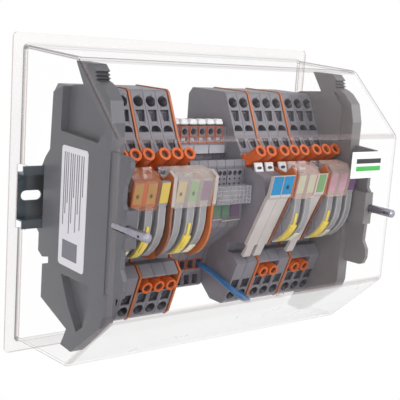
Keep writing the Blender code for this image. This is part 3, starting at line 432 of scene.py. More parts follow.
def makeHood():
    spec = hood
    depths = spec["front"][0] - spec["back"]
    piece = startBox(
        "hoodShell", (-spec["halfLength"], spec["back"], -spec["backHalf"]),
        (spec["halfLength"], spec["front"][0], spec["backHalf"]))
    bpy.ops.object.mode_set(mode="EDIT")
    bpy.ops.mesh.select_all(action="SELECT")
    bpy.ops.mesh.bisect(plane_co=place(0.0, spec["shoulder"][0], 0.0), plane_no=(0.0, 1.0, 0.0))
    mesh = bmesh.from_edit_mesh(piece.data)
    for vertex in mesh.verts:
        depth = -vertex.co.y / mm
        if depth > spec["front"][0] - spec["slack"]:
            vertex.co.z *= spec["front"][1] / spec["backHalf"]
        elif depth > spec["back"] + spec["slack"]:
            vertex.co.z *= spec["shoulder"][1] / spec["backHalf"]
        vertex.co.x *= 1.0 - spec["draft"] / spec["halfLength"] * (depth - spec["back"]) / depths
    bmesh.update_edit_mesh(piece.data)
    selectParts(piece, "FACE", lambda face: face.normal.y > hoodTurns["flange"])
    bpy.ops.mesh.delete(type="FACE")
    sharp = math.radians(spec["foldAngle"])
    selectParts(
        piece, "EDGE", lambda edge: not edge.is_boundary and edge.calc_face_angle(0.0) > sharp)
    bpy.ops.mesh.bevel(offset=spec["foldRadius"] * mm, segments=spec["segments"], affect="EDGES")
    selectParts(piece, "EDGE", lambda edge: edge.is_boundary)
    bpy.ops.mesh.extrude_edges_move()
    mesh = bmesh.from_edit_mesh(piece.data)
    for vertex in mesh.verts:
        if vertex.select:
            vertex.co.x *= (spec["halfLength"] + spec["flange"]) / spec["halfLength"]
            vertex.co.z *= (spec["backHalf"] + spec["flange"]) / spec["backHalf"]
    bmesh.update_edit_mesh(piece.data)
    bpy.ops.mesh.select_all(action="SELECT")
    bpy.ops.mesh.normals_make_consistent(inside=False)
    selectParts(piece, "EDGE", isBackFold)
    bpy.ops.mesh.bevel(offset=spec["backRadius"] * mm, segments=spec["segments"], affect="EDGES")
    bpy.ops.object.mode_set(mode="OBJECT")
    if min(piece.data.polygons, key=lambda face: face.center.y).normal.y > 0:
        piece.data.flip_normals()
    piece.data.transform(Matrix.Translation((0.0, 0.0, -spec["drop"] * mm)))
    shell = piece.modifiers.new("Wall", "SOLIDIFY")
    shell.thickness = spec["wall"] * mm
    shell.offset = -1.0
    shell.use_even_offset = True
    makeActive(piece)
    bpy.ops.object.modifier_apply(modifier=shell.name)
    cutters = []
    for x in spec["pins"]:
        cutters.append(startDisc(
            "hole", (x, spec["front"][0], spec["pinHeight"]), spec["holeRadius"], spec["holeCut"],
            steps=32))
    for side in (-1, 1):
        cutters.append(startBox(
            "notch", (side * spec["railStart"], spec["railCut"], -spec["railHalf"]),
            (side * spec["railEnd"], spec["railDepth"], spec["railHalf"])))
    cutWith(piece, cutters)
    finishes = (hoodSheet, hoodPaintedReflection, hoodFlange, hoodFoldPaintedShade, hoodBackFoldPaintedShade, hoodEdge)
    piece.data.materials.clear()
    for finish in finishes:
        piece.data.materials.append(finish)
    for face in piece.data.polygons:
        face.material_index = finishes.index(hoodFinish(face))
    settle(piece, "hood", "hood_clear")
    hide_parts("clear_hood")


makeHood()
print("scene: hood")


# Labels: a bare sticker on the hood, a rating label without words on the left carrier

sticker = {
    "x": (59.4, 88.1), "height": (19.0, 34.5), "depth": 95.65, "thick": 0.25, "margin": 4.0,
    "sunk": 0.1, "proud": 0.05, "round": 0.08, "barRound": 0.4,
    "bars": (("stickerDarkBar", 8.6, 11.4, printAndShadeBlack), ("stickerGreenBar", 4.2, 7.0, stickerGreen)),
}
ratingLabel = {
    "x": -89.7, "depth": (27.9, 55.1), "height": (-32.2, 32.2), "thick": 0.25, "corner": 2.0,
    "sunk": 0.05, "proud": 0.04, "barWidth": 0.9, "barTop": 29.0,
    "bars": (  # depth from the label's back edge, height of the foot
        (3.0, -10.0), (5.0, -4.0), (7.0, 2.0), (9.6, -14.0), (11.6, -8.0), (13.6, 6.0), (16.2, -12.0),
        (18.2, -2.0), (20.8, -10.0), (22.8, 8.0)),
    "block": ((4.0, -28.0), (20.0, -18.0)),
}


def makeSticker():
    spec = sticker
    left, right = spec["x"]
    low = spec["height"][0]
    front = spec["depth"] + spec["thick"]
    film = startSlab("stickerFilm", spec["x"], (spec["depth"], front), spec["height"])
    settle(roundEdges(film, spec["round"], 1), "hood", "hood_clear", stickerFilm)
    for name, foot, top, finish in spec["bars"]:
        bar = startSlab(
            name, (left + spec["margin"], right - spec["margin"]),
            (front - spec["sunk"], front + spec["proud"]), (low + foot, low + top))
        settle(roundEdges(bar, spec["barRound"]), "hood", "hood_clear", finish)


def alongX(edge):
    # The edges that run through the label, at its corners.
    run = edge.verts[0].co - edge.verts[1].co
    return abs(run.x) > 0.9 * run.length


def makeRatingLabel():
    spec = ratingLabel
    back = spec["depth"][0]
    face = spec["x"] - spec["thick"]
    film = startSlab("ratingLabel", (face, spec["x"] + spec["sunk"]), spec["depth"], spec["height"])
    bpy.ops.object.mode_set(mode="EDIT")
    selectParts(film, "EDGE", alongX)
    bpy.ops.mesh.bevel(offset=spec["corner"] * mm, segments=5, affect="EDGES")
    bpy.ops.object.mode_set(mode="OBJECT")
    settle(film, "strip", "carrier_grey", labelFilm)
    marks = [(offset, foot, offset + spec["barWidth"], spec["barTop"]) for offset, foot in spec["bars"]]
    marks.append((*spec["block"][0], *spec["block"][1]))
    ends = (face - spec["proud"], face + spec["sunk"])
    bars = []
    for first, foot, last, top in marks:
        bars.append(startSlab("bar", ends, (back + first, back + last), (foot, top)))
    settle(joinAll("ratingLabelBars", bars), "strip", "carrier_grey", labelPrint)


makeSticker()
makeRatingLabel()
print("scene: labels")


# Terminal housings: the solids' shape with wider round entries and tool slots, their walls in painted
# shade

rowCentres = {
    "left": (-77.9, -69.9, -61.9, -51.75, -43.75, -35.75),
    "right": (14.35, 22.35, 32.5, 40.5, 48.5, 58.65, 66.65, 74.65),
}
faceLines = {  # start and end of each front face, (depth, height)
    "top": ((37.3, 61.6), (47.6, 40.2)), "second": ((48.3, 38.4), (54.6, 29.9)),
    "lower": ((59.6, -35.8), (49.8, -61.2)),
}
entries = (("top", 56.6, 3.15, 8.0), ("lower", -57.2, 3.1, 8.0))  # face, height, radius, depth
domes = {"face": "top", "height": 40.9, "radius": 3.1, "rise": 0.5, "depth": 4.0}
slots = (  # face, height, width, length along the face, depth, share of the width left at the foot
    ("top", 49.2, 5.8, 6.6, 2.0, 0.55), ("second", 34.3, 5.4, 5.6, 1.6, 0.6),
    ("lower", -49.8, 5.5, 6.4, 2.0, 1.0))
mouth = {"entry": 1.0, "slot": 0.6}  # how far the cutters stand out of the face


def facePlace(face, height):
    # The point of a front face at a height, its downward run and its outward direction.
    start, end = (Vector(point) for point in faceLines[face])
    point = start + (end - start) * (height - start.y) / (end.y - start.y)
    run = (end - start).normalized()
    return point, run, Vector((-run.y, run.x))


def startEntry(name, x, point, out, radius, depth):
    # A round cutter square to the face.
    centre = point - out * ((depth - mouth["entry"]) / 2)
    tilt = -math.degrees(math.atan2(out.y, out.x))
    return startDisc(name, (x, centre.x, centre.y), radius, depth + mouth["entry"], tilt, steps=28)


def startDome(x):
    # A half-round cutter, its flat edge down.
    point, run, out = facePlace(domes["face"], domes["height"])
    dome = startEntry("dome", x, point - run * domes["rise"], out, domes["radius"], domes["depth"])
    upward = place(0.0, -run.x, -run.y)
    for vertex in dome.data.vertices:
        above = (vertex.co - place(x, point.x, point.y)).dot(upward) / upward.length_squared
        vertex.co -= upward * min(above, 0.0)
    return dome


def startSlot(x, face, height, width, length, depth, taper):
    # A square cutter that narrows towards its foot.
    point, run, out = facePlace(face, height)
    corners = [
        point + run * (side * length / 2) + out * reach
        for side, reach in ((-1, mouth["slot"]), (1, mouth["slot"]), (1, -depth), (-1, -depth))]
    slot = startOutline("slot", [tuple(corner) for corner in corners], x - width / 2, x + width / 2)
    for vertex in slot.data.vertices:
        if (vertex.co - place(x, point.x, point.y)).dot(place(0.0, run.x, run.y)) > 0.0:
            vertex.co.x = x * mm + (vertex.co.x - x * mm) * taper
    return slot


def dressHousing(name, x):
    clearSelection()
    piece = bpy.data.objects.new(name + "Body", nodes[name].data.copy())
    bpy.context.scene.collection.objects.link(piece)
    makeActive(piece)
    bpy.ops.object.mode_set(mode="EDIT")
    bpy.ops.mesh.select_all(action="SELECT")
    bpy.ops.mesh.remove_doubles(threshold=0.001 * mm)
    bpy.ops.object.mode_set(mode="OBJECT")
    cutters = []
    for face, height, radius, depth in entries:
        point, run, out = facePlace(face, height)
        cutters.append(startEntry("entry", x, point, out, radius, depth))
    cutters.append(startDome(x))
    for spec in slots:
        cutters.append(startSlot(x, *spec))
    # the cut walls get the painted-shade finish
    cutWith(piece, cutters, entryPaintedShade)
    settle(piece, "strip", "housing_grey", smooth=15.0)
    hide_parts(name)


for side, centres in rowCentres.items():
    for number in range(1, len(centres) + 1):
        low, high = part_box(f"{side}_terminal_{number}")
        dressHousing(f"{side}_terminal_{number}", (low.x + high.x) / 2 / mm)
print("scene: housings")


# Levers: pale rims along their front edges, coloured cards, yellow grips

leverBodies = {}
for side, numbers, body in (
        ("left", (1, 2), "left_levers_tied_a"), ("left", (3,), "left_lever_single"),
        ("left", (4, 5, 6), "left_levers_tied_b"), ("right", (1, 2, 5), "strip"),
        ("right", (3, 4), "right_levers_tied_a"), ("right", (6, 7), "right_levers_tied_b"),
        ("right", (8,), "right_lever_single")):
    for number in numbers:
        leverBodies[side, number] = body
leverArc = (  # the lever's front edge from above, (depth, height)
    (82.6, 7.4), (82.4, 3.0), (82.2, -2.0), (81.0, -7.4), (78.4, -12.6), (74.4, -17.2), (69.6, -20.8),
    (66.0, -21.9))
rim = {"out": 0.3, "into": 0.8, "width": 0.5, "beside": 0.05, "halfLever": 2.1, "round": 0.15}
card = {
    "top": (85.2, 20.2), "bottom": (83.05, 9.6), "proud": 0.22, "sunk": 0.3, "width": 5.2,
    "wideWidth": 6.8, "frame": 0.3, "frameSink": 0.06, "round": 0.06,
}
dot = {
    "height": 15.0, "shift": -0.3, "drop": 1.2, "sunk": 0.02, "radius": 1.15, "thick": 0.16,
    "tilt": 11.5, "squeeze": 0.7,
}
cards = (  # side, number, finish, with a dot
    ("left", 1, cardAmber, True), ("left", 2, cardAmber, True), ("left", 3, cardYellow, False),
    ("left", 4, cardPale, True), ("left", 5, cardGreen, True), ("left", 6, cardViolet, False),
    ("right", 1, cardBlue, False), ("right", 2, cardBlue, True), ("right", 3, cardMint, False),
    ("right", 4, cardMint, False), ("right", 5, cardGreen, False), ("right", 6, cardPink, False),
    ("right", 7, cardPink, False), ("right", 8, cardViolet, False),
)
holder = {
    "top": (84.9, 21.0), "bottom": (82.75, 8.6), "out": 0.12, "into": 0.5, "beside": 3.3, "edge": 0.9,
    "round": 0.08, "places": (
        ("leftHolderA", "left", 1, 2, "left_levers_tied_a"),
        ("rightHolderA", "right", 3, 4, "right_levers_tied_a"),
        ("rightHolderB", "right", 6, 7, "right_levers_tied_b")),
}
plateTips = {  # clear strips fixed on the edges of the plates beside the untinted cap
    "front": ((80.8, 25.2), (85.6, 22.6), (84.45, 7.4)), "thick": 0.6, "round": 0.15,
    "places": ((-57.95, -55.85), (-31.6, -29.4)),
}
grip = {
    "stemWidth": 1.6, "hookWidth": 2.4, "lobeWidth": 4.7, "stemOut": 0.78, "lobeOut": 1.3,
    "hookOut": 1.82, "into": 0.3, "round": 0.3,
    "lobe": ((80.4, -9.0), (78.4, -12.6), (74.4, -17.2), (70.4, -20.2)),
    "hook": ((80.0, -9.6), (77.4, -13.9), (75.6, -15.9)),
    "places": (("left", 2, -1), ("left", 5, 1), ("right", 3, 1), ("right", 6, 1)),
}
shoe = {
    "line": ((75.4, -16.0), (72.0, -19.0), (69.0, -21.1), (66.0, -22.0)), "out": 0.7, "into": 0.5,
    "half": 2.1, "round": 0.2,
}


def offsetLine(points, distance):
    # The line moved out of the lever, square to itself.
    moved = []
    for index, point in enumerate(points):
        before = Vector(points[max(index - 1, 0)])
        after = Vector(points[min(index + 1, len(points) - 1)])
        run = (after - before).normalized()
        moved.append((point[0] - run.y * distance, point[1] + run.x * distance))
    return moved


def bandOutline(points, out, into):
    # A band along the line, from out in front of it to into behind it.
    return offsetLine(points, out) + list(reversed(offsetLine(points, -into)))


def makeRims():
    spec = rim
    outline = bandOutline(leverArc, spec["out"], spec["into"])
    for (side, number), body in leverBodies.items():
        if body == "strip":
            continue
        x = rowCentres[side][number - 1]
        parts = []
        for edge in (-1, 1):
            near = x + edge * (spec["halfLever"] + spec["beside"])
            far = x + edge * (spec["halfLever"] - spec["width"])
            parts.append(startOutline("rim", outline, min(near, far), max(near, far)))
        piece = roundEdges(joinAll(f"{side}LeverRim{number}", parts), spec["round"], 1)
        settle(piece, body, "lever_grey", rimGrey)


def makeCards():
    spec = card
    outline = bandOutline((spec["top"], spec["bottom"]), spec["proud"], spec["sunk"])
    share = (dot["height"] - spec["bottom"][1]) / (spec["top"][1] - spec["bottom"][1])
    dotDepth = spec["bottom"][0] + share * (spec["top"][0] - spec["bottom"][0])
    dotDepth += spec["proud"] - dot["sunk"]
    for side, number, finish, dotted in cards:
        x = rowCentres[side][number - 1]
        body = leverBodies[side, number]
        half = (spec["wideWidth"] if finish is cardBlue else spec["width"]) / 2
        piece = startOutline(f"{side}Card{number}", outline, x - half, x + half)
        piece.data.materials.append(finish)
        insetFront(piece, spec["frame"], spec["frameSink"])
        settle(roundEdges(piece, spec["round"], 1), body, "cap_clear")
        if dotted:
            mark = startDisc(
                f"{side}CardDot{number}", (x + dot["shift"], dotDepth, dot["height"] - dot["drop"]),
                dot["radius"], dot["thick"], dot["tilt"], dot["squeeze"])
            settle(mark, body, "lever_grey", printAndShadeBlack)


def makeHolders():
    # Orange card holders: round the cards under the tinted cap, only an edge beside the clear ones.
    spec = holder
    outline = bandOutline((spec["top"], spec["bottom"]), spec["out"], spec["into"])
    for name, side, first, last, body in spec["places"]:
        start = rowCentres[side][first - 1] - spec["beside"]
        end = rowCentres[side][last - 1] + spec["beside"]
        if side == "right":
            end = start + spec["edge"]
        piece = roundEdges(startOutline(name, outline, start, end), spec["round"], 1)
        settle(piece, body, "orange_plastic", holderRed)


def makePlateTips():
    spec = plateTips
    outline = bandOutline(spec["front"], spec["thick"], 0.0)
    for number, (start, end) in enumerate(spec["places"], 1):
        piece = startOutline(f"leftPlateTip{number}", outline, start, end)
        settle(roundEdges(piece, spec["round"], 1), "strip", "cap_clear", capSide)


def makeGrips():
    # A narrow stem down the lever's front that spreads into a hooked lobe at its foot,
    # and a pale shoe under the foot of each lever that the grip's cap ties.
    spec = grip
    for side, number, towards in spec["places"]:
        x = rowCentres[side][number - 1]
        body = leverBodies[side, number]
        parts = []
        for part, line in (("stem", leverArc[2:5]), ("lobe", spec["lobe"]), ("hook", spec["hook"])):
            half = spec[part + "Width"] / 2
            outline = bandOutline(line, spec[part + "Out"], spec["into"])
            parts.append(startOutline(part, outline, x - half, x + half))
        piece = roundEdges(joinAll(f"{side}Grip{number}", parts), spec["round"])
        settle(piece, body, "lever_grey", gripYellow)
        outline = bandOutline(shoe["line"], shoe["out"], shoe["into"])
        for other in (number, number + towards, number + 2 * towards):
            if leverBodies.get((side, other)) == body:
                centre = rowCentres[side][other - 1]
                piece = startOutline(
                    f"{side}Shoe{other}", outline, centre - shoe["half"], centre + shoe["half"])
                settle(roundEdges(piece, shoe["round"], 1), body, "lever_grey", rimCream)


makeRims()
makeHolders()
makePlateTips()
makeCards()
makeGrips()
print("scene: levers")


# Marker tags on the noses of the terminals, and painted shade down the test sockets' bores

tag = {
    "back": 67.6, "front": 69.0, "low": 19.6, "high": 25.2, "width": 5.6, "lean": 2.2, "step": 0.6,
    "frame": 0.5, "frameSink": 0.25, "round": 0.15,
    "white": (("left", 3), ("right", 1), ("right", 2), ("right", 3), ("right", 4), ("right", 5)),
}
tagSlot = {"sunk": 0.1, "radius": 0.85, "thick": 0.5, "tilt": -21.0, "squeeze": 1.9}
bores = {  # dark discs just below the test sockets' mouths, painted shade down the bores
    "thick": 0.4, "upper": (66.7, 31.35), "upperTilt": -34.8, "upperRadius": 2.1,
    "lower": (57.8, -42.6), "lowerTilt": 13.9, "lowerRadius": 1.9,
    "lowerRow": {"left": (4, 5, 6), "right": (3, 4, 6, 7)},
}


def makeTags():
    spec = tag
    half = spec["width"] / 2
    depth = spec["front"] - spec["lean"] / 2 - tagSlot["sunk"]
    height = (spec["low"] + spec["high"]) / 2
    outline = (
        (spec["front"], spec["low"]), (spec["front"] - spec["lean"], spec["high"]),
        (spec["back"] - spec["lean"], spec["high"]), (spec["back"], spec["low"] - spec["step"]))
    for side, centres in rowCentres.items():
        for number, x in enumerate(centres, 1):
            plate = startOutline(f"{side}Tag{number}", outline, x - half, x + half)
            plate.data.materials.append(markerWhite if (side, number) in spec["white"] else plateSheet)
            insetFront(plate, spec["frame"], spec["frameSink"])
            settle(roundEdges(plate, spec["round"], 1), "strip", "housing_grey")
            slot = startDisc(
                f"{side}TagSlot{number}", (x, depth, height), tagSlot["radius"], tagSlot["thick"],
                tagSlot["tilt"], tagSlot["squeeze"])
            settle(slot, "strip", "housing_grey", printAndShadeBlack)


def makeBores():
    # Painted shade: a dark disc a little below each socket's mouth stands for the shadow down the bore.
    spec = bores
    for side, centres in rowCentres.items():
        discs = []
        for number, x in enumerate(centres, 1):
            discs.append(startDisc(
                "bore", (x, *spec["upper"]), spec["upperRadius"], spec["thick"], spec["upperTilt"]))
            if number in spec["lowerRow"][side]:
                discs.append(startDisc(
                    "bore", (x, *spec["lower"]), spec["lowerRadius"], spec["thick"], spec["lowerTilt"]))
        settle(joinAll(f"{side}SocketBorePaintedShade", discs), "strip", "orange_plastic", socketPaintedShade)


makeTags()
makeBores()
print("scene: marker tags and socket sleeves")


# Middle terminals: wire frames, markers, clear plates and cards

middle = {"centres": tuple(-26.225 + 6.25 * index for index in range(6)), "half": 2.9, "round": 0.12}
upperFrame = {"face": 40.8, "height": (33.2, 42.9), "windows": ((33.9, 37.1), (37.7, 42.4))}
lowerFrame = {"face": 30.0, "height": (-45.2, -38.6), "windows": ((-44.5, -39.3),)}
wireFrame = {"side": 0.55, "depth": (-0.2, 0.6), "cut": (-1.0, 1.5)}  # depths from the face
marker = {  # half width, depths, heights
    "bar": (2.6, (33.0, 40.6), (43.9, 45.6)), "knob": (2.2, (36.4, 40.2), (45.2, 46.9)),
    "vane": (1.4, (39.4, 40.0), (34.6, 36.4)), "round": 0.45, "vaneRound": 0.2,
}
markerPlate = {
    "ends": ((-26.0, -14.8), (-14.2, -4.0), (-3.2, 7.9)), "depth": (42.2, 43.2), "height": (27.5, 32.2),
    "frame": 0.5, "frameSink": 0.2,
}
perforated = {
    "ends": ((-21.8, -10.8), (-10.2, -3.6), (-3.0, 7.8)), "depth": (59.6, 60.9), "height": (10.6, 21.2),
    "columns": (3, 2, 3), "rows": ((12.4, 0.9), (15.6, 0.6), (18.9, 1.35)),  # height, radius
    "holeCut": 1.4, "round": 0.15,
}
middleCards = (  # name, ends, heights, finish; the last one lies half hidden
    ("middleCard1", (-12.2, -6.0), (-5.6, 5.4), cardDeepGreen),
    ("middleCard2", (-5.4, 0.2), (-6.6, 2.6), cardDeepGreen),
    ("middleCard3", (0.8, 7.6), (-6.4, 5.0), cardViolet),
    ("middleCard0", (-18.6, -12.8), (-5.6, 5.4), cardGreen),
)
middleCard = {
    "depth": (60.2, 61.1), "frame": 0.3, "frameSink": 0.08, "round": 0.08, "over": 0.2,
    "coverDepth": (61.5, 62.3), "below": 1.6, "above": 0.4, "footDepth": (60.0, 62.4),
    "foot": (2.0, 1.2),
}
ribbed = {
    "ends": ((-26.0, -15.8), (-15.2, -4.6), (-4.2, 9.2)), "height": (2.6, 12.6),
    "plate": (67.4, 67.9), "front": 68.0, "armDepth": (60.2, 67.6), "armHeight": (8.6, 12.4),
    "armWidth": 0.7, "roof": 12.0, "rib": 0.45, "columns": 5, "rows": 4,
}


def makeFrame(name, x, row):
    # A thin frame round the openings of one terminal.
    spec = wireFrame
    half = middle["half"]
    depths = [row["face"] + value for value in spec["depth"]]
    cut = [row["face"] + value for value in spec["cut"]]
    plate = startSlab(name, (x - half, x + half), depths, row["height"])
    inner = (x - half + spec["side"], x + half - spec["side"])
    cutWith(plate, [startSlab("window", inner, cut, heights) for heights in row["windows"]])
    settle(roundEdges(plate, middle["round"], 1), "strip", "orange_plastic", rustFrame)


def startMarker(name, x, part):
    half, depths, heights = marker[part]
    return startSlab(name, (x - half, x + half), depths, heights)


def makeMarkers(number, x):
    # A white marker with a knob above the terminal, and a grey vane in its upper window.
    parts = [startMarker("marker", x, "bar"), startMarker("marker", x, "knob")]
    piece = roundEdges(joinAll(f"middleMarker{number}", parts), marker["round"])
    settle(piece, "strip", "housing_grey", markerWhite)
    vane = roundEdges(startMarker(f"middleVane{number}", x, "vane"), marker["vaneRound"], 1)
    settle(vane, "strip", "housing_grey", markerGrey)


def makeMarkerPlates():
    spec = markerPlate
    for number, ends in enumerate(spec["ends"], 1):
        plate = startSlab(f"middleMarkerPlate{number}", ends, spec["depth"], spec["height"])
        plate.data.materials.append(markerGrey)
        insetFront(plate, spec["frame"], spec["frameSink"])
        settle(roundEdges(plate, middle["round"], 1), "strip", "housing_grey")


def makePerforated():
    # Plates with three rows of holes of different sizes, their walls black as painted shade.
    spec = perforated
    front = spec["depth"][1]
    for number, ((start, end), columns) in enumerate(zip(spec["ends"], spec["columns"]), 1):
        plate = startSlab(f"middlePerforated{number}", (start, end), spec["depth"], spec["height"])
        cutters = []
        for column in range(columns):
            across = start + (end - start) * (column + 0.5) / columns
            for height, radius in spec["rows"]:
                hole = startDisc("hole", (across, front, height), radius, spec["holeCut"], steps=14)
                cutters.append(hole)
        plate.data.materials.append(housingGrey)
        # the holes' walls take the black as painted shade
        cutWith(plate, cutters, printAndShadeBlack)
        settle(roundEdges(plate, spec["round"], 1), "strip", "housing_grey")


def makeRibbed(number, start, end):
    # A clear cover that stands off the row on two arms, with a raised grid on its front.
    spec = ribbed
    low, high = spec["height"]
    clearSelection()
    bpy.ops.mesh.primitive_grid_add(
        x_subdivisions=spec["columns"], y_subdivisions=spec["rows"], size=1.0,
        location=place((start + end) / 2, spec["front"], (low + high) / 2),
        rotation=(math.radians(90.0), 0.0, 0.0))
    net = bpy.context.object
    net.name = f"middleRibs{number}"
    net.scale = ((end - start) * mm, (high - low) * mm, 1.0)
    bpy.ops.object.transform_apply(location=True, rotation=True, scale=True)
    wire = net.modifiers.new("Ribs", "WIREFRAME")
    wire.thickness = spec["rib"] * mm
    wire.use_even_offset = False
    bpy.ops.object.modifier_apply(modifier=wire.name)
    settle(net, "strip", "cap_clear", markerGrey)
    arm = spec["armWidth"]
    parts = [
        startSlab("plate", (start, end), spec["plate"], spec["height"]),
        startSlab("arm", (start, start + arm), spec["armDepth"], spec["armHeight"]),
        startSlab("arm", (end - arm, end), spec["armDepth"], spec["armHeight"]),
        startSlab("roof", (start, end), spec["armDepth"], (spec["roof"], high)),
    ]
    piece = roundEdges(joinAll(f"middleClear{number}", parts), middle["round"], 1)
    settle(piece, "strip", "cap_clear", plateSheet)


def makeMiddleCard(name, ends, heights, finish):
    # A card under a clear cover with a pale foot.
    spec = middleCard
    low, high = heights
    piece = startSlab(name, ends, spec["depth"], heights)
    piece.data.materials.append(finish)
    insetFront(piece, spec["frame"], spec["frameSink"])
    settle(roundEdges(piece, spec["round"], 1), "strip", "cap_clear")
    wide = (ends[0] - spec["over"], ends[1] + spec["over"])
    cover = startSlab(
        name + "Cover", wide, spec["coverDepth"], (low - spec["below"], high + spec["above"]))
    settle(roundEdges(cover, middle["round"], 1), "strip", "cap_clear", coverSheet)
    foot = startSlab(name + "Foot", wide, spec["footDepth"], [low - value for value in spec["foot"]])
    settle(roundEdges(foot, middle["round"], 1), "strip", "cap_clear", capSide)


def makeMiddle():
    for number, x in enumerate(middle["centres"], 1):
        makeFrame(f"middleFrame{number}", x, upperFrame)
        makeFrame(f"middleLowerFrame{number}", x, lowerFrame)
        makeMarkers(number, x)
    makeMarkerPlates()
    makePerforated()
    for number, (start, end) in enumerate(ribbed["ends"], 1):
        makeRibbed(number, start, end)
    for row in middleCards:
        makeMiddleCard(*row)


makeMiddle()
print("scene: middle terminals")


# Sealing pins' sleeves and the lead

sleeve = {
    "start": 92.6, "end": 108.6, "radius": 2.35, "height": -0.6, "round": 0.5, "holeBack": 4.6,
    "holeRadius": 0.8, "holeLength": 8.0,
}
lead = {
    "diameter": 3.4, "steps": 8, "facets": 5,
    "route": (
        (5.025, 28.4, -41.9), (5.025, 32.0, -42.4), (7.25, 42.0, -45.6), (8.05, 52.0, -48.8),
        (9.25, 60.0, -51.8), (13.45, 64.4, -55.4), (18.45, 62.4, -58.0), (22.35, 55.56, -59.06),
        (22.35, 51.27, -57.4), (22.35, 46.6, -55.6)),
}


def makeSleeves():
    # Turned sleeves round the pins, each with a cross hole for a seal wire.
    spec = sleeve
    height = spec["height"]
    for name, x in zip(("leftPinSleeve", "rightPinSleeve"), hood["pins"]):
        tube = startDisc(
            name, (x, (spec["start"] + spec["end"]) / 2, height), spec["radius"],
            spec["end"] - spec["start"], steps=32)
        hole = (x, spec["end"] - spec["holeBack"], height)
        drill = startDisc("drill", hole, spec["holeRadius"], spec["holeLength"], steps=12)
        drill.data.transform(
            Matrix.Translation(place(*hole)) @ Matrix.Rotation(math.radians(90.0), 4, "Z")
            @ Matrix.Translation(-place(*hole)))
        cutWith(tube, [drill])
        settle(roundEdges(tube, spec["round"], 3), "strip", "pin_steel", pinSteel)


def makeLead():
    # A smooth tube through the route's points.
    clearSelection()
    bpy.ops.curve.primitive_bezier_curve_add()
    path = bpy.context.object
    knots = path.data.splines[0].bezier_points
    knots.add(len(lead["route"]) - len(knots))
    for knot, point in zip(knots, lead["route"]):
        knot.co = place(*point)
        knot.handle_left_type = knot.handle_right_type = "AUTO"
    path.data.resolution_u = lead["steps"]
    path.data.bevel_depth = lead["diameter"] / 2 * mm
    path.data.bevel_resolution = lead["facets"]
    path.data.use_fill_caps = True
    makeActive(path)
    bpy.ops.object.convert(target="MESH")
    piece = bpy.context.object
    piece.name = "leadSleeve"
    settle(piece, "strip", "lead_blue", leadBlue)
    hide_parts("insulated_lead")


makeSleeves()
makeLead()
print("scene: pins and lead")


# Camera, floor and light

camera = {  # angles in degrees, focal length and frame in pixels, position in metres
    "azimuth": 37.96469, "elevation": -10.57253, "roll": 4.09982, "focal": 857.103,
    "position": (-0.307389, -0.427531, 0.091387), "frameSize": 400, "sensor": 36.0,
}


def makeCamera():
    spec = camera
    azimuth, elevation = math.radians(spec["azimuth"]), math.radians(spec["elevation"])
    roll = math.radians(spec["roll"])
    forward = Vector((
        math.sin(azimuth) * math.cos(elevation), math.cos(azimuth) * math.cos(elevation),
        math.sin(elevation)))
    across = Vector((math.cos(azimuth), -math.sin(azimuth), 0.0))
    upward = across.cross(forward)
    right = math.cos(roll) * across + math.sin(roll) * upward
    top = -math.sin(roll) * across + math.cos(roll) * upward
    turn = Matrix((right, top, -forward)).transposed().to_4x4()
    turn.translation = spec["position"]
    data = bpy.data.cameras.new("photoCamera")
    data.sensor_width = spec["sensor"]
    data.lens = spec["sensor"] * spec["focal"] / spec["frameSize"]
    data.clip_start = 0.01
    holder = bpy.data.objects.new("photoCamera", data)
    bpy.context.scene.collection.objects.link(holder)
    holder.matrix_world = turn
    bpy.context.scene.camera = holder


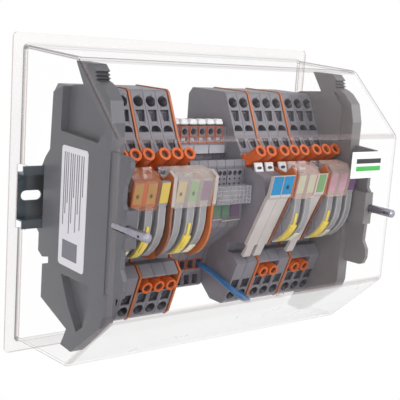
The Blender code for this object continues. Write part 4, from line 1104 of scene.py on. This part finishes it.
def makeFloor():
    # A lit white table: the background to the camera, soft light from below to the piece.
    clearSelection()
    bpy.ops.mesh.primitive_plane_add(size=14.0, location=(0.0, 0.0, cadLow.z - 0.5 * mm))
    floor = bpy.context.object
    floor.name = "studioFloor"
    finish = newFinish("floorPaper")
    tree = finish.node_tree
    shader = tree.nodes["Principled BSDF"]
    shader.inputs["Base Color"].default_value = colour("#F2F2F2")
    shader.inputs["Roughness"].default_value = 0.9
    path = addNode(tree, "ShaderNodeLightPath")
    either = addNode(
        tree, "ShaderNodeMath", {"operation": "MAXIMUM"},
        {0: path.outputs["Is Camera Ray"], 1: path.outputs["Is Glossy Ray"]})
    share = addNode(
        tree, "ShaderNodeMapRange", {"To Min": 0.5, "To Max": 1.0}, {"Value": either.outputs[0]})
    white = addNode(tree, "ShaderNodeEmission", {"Color": (1.0, 1.0, 1.0, 1.0), "Strength": 1.0})
    mix = addNode(
        tree, "ShaderNodeMixShader", None,
        {0: share.outputs[0], 1: shader.outputs["BSDF"], 2: white.outputs["Emission"]})
    tree.links.new(mix.outputs["Shader"], tree.nodes["Material Output"].inputs["Surface"])
    floor.data.materials.append(finish)


lamps = (  # name, place in metres, size in metres, watts
    ("keyLight", (0.75, -0.95, 0.55), 0.6, 6.0),
    ("frontLight", (-0.15, -1.2, -0.05), 0.8, 3.5),
    ("topLight", (-0.1, -0.3, 1.1), 0.7, 2.0),
    ("sideLight", (-0.9, -0.7, 0.25), 0.6, 4.5),
)


def makeLight():
    # Four soft lamps aimed at the piece, and a white room that is dimmer to the piece than to the eye.
    for name, spot, size, watts in lamps:
        data = bpy.data.lights.new(name, "AREA")
        data.size = size
        data.energy = watts
        holder = bpy.data.objects.new(name, data)
        holder.location = spot
        holder.rotation_euler = (-Vector(spot)).to_track_quat("-Z", "Y").to_euler()
        bpy.context.scene.collection.objects.link(holder)
    world = bpy.data.worlds.new("studio")
    bpy.context.scene.world = world
    world.use_nodes = True
    tree = world.node_tree
    back = tree.nodes["Background"]
    back.inputs["Color"].default_value = (1.0, 1.0, 1.0, 1.0)
    path = addNode(tree, "ShaderNodeLightPath")
    seen = addNode(
        tree, "ShaderNodeMath", {"operation": "MAXIMUM"},
        {0: path.outputs["Is Camera Ray"], 1: path.outputs["Is Transmission Ray"]})
    seen = addNode(
        tree, "ShaderNodeMath", {"operation": "MAXIMUM"},
        {0: seen.outputs[0], 1: path.outputs["Is Glossy Ray"]})
    level = addNode(
        tree, "ShaderNodeMapRange", {"To Min": 0.3, "To Max": 1.0}, {"Value": seen.outputs[0]})
    tree.links.new(level.outputs["Result"], back.inputs["Strength"])


makeCamera()
makeFloor()
makeLight()
bpy.context.scene.view_settings.view_transform = "Standard"
print("scene: camera and light")

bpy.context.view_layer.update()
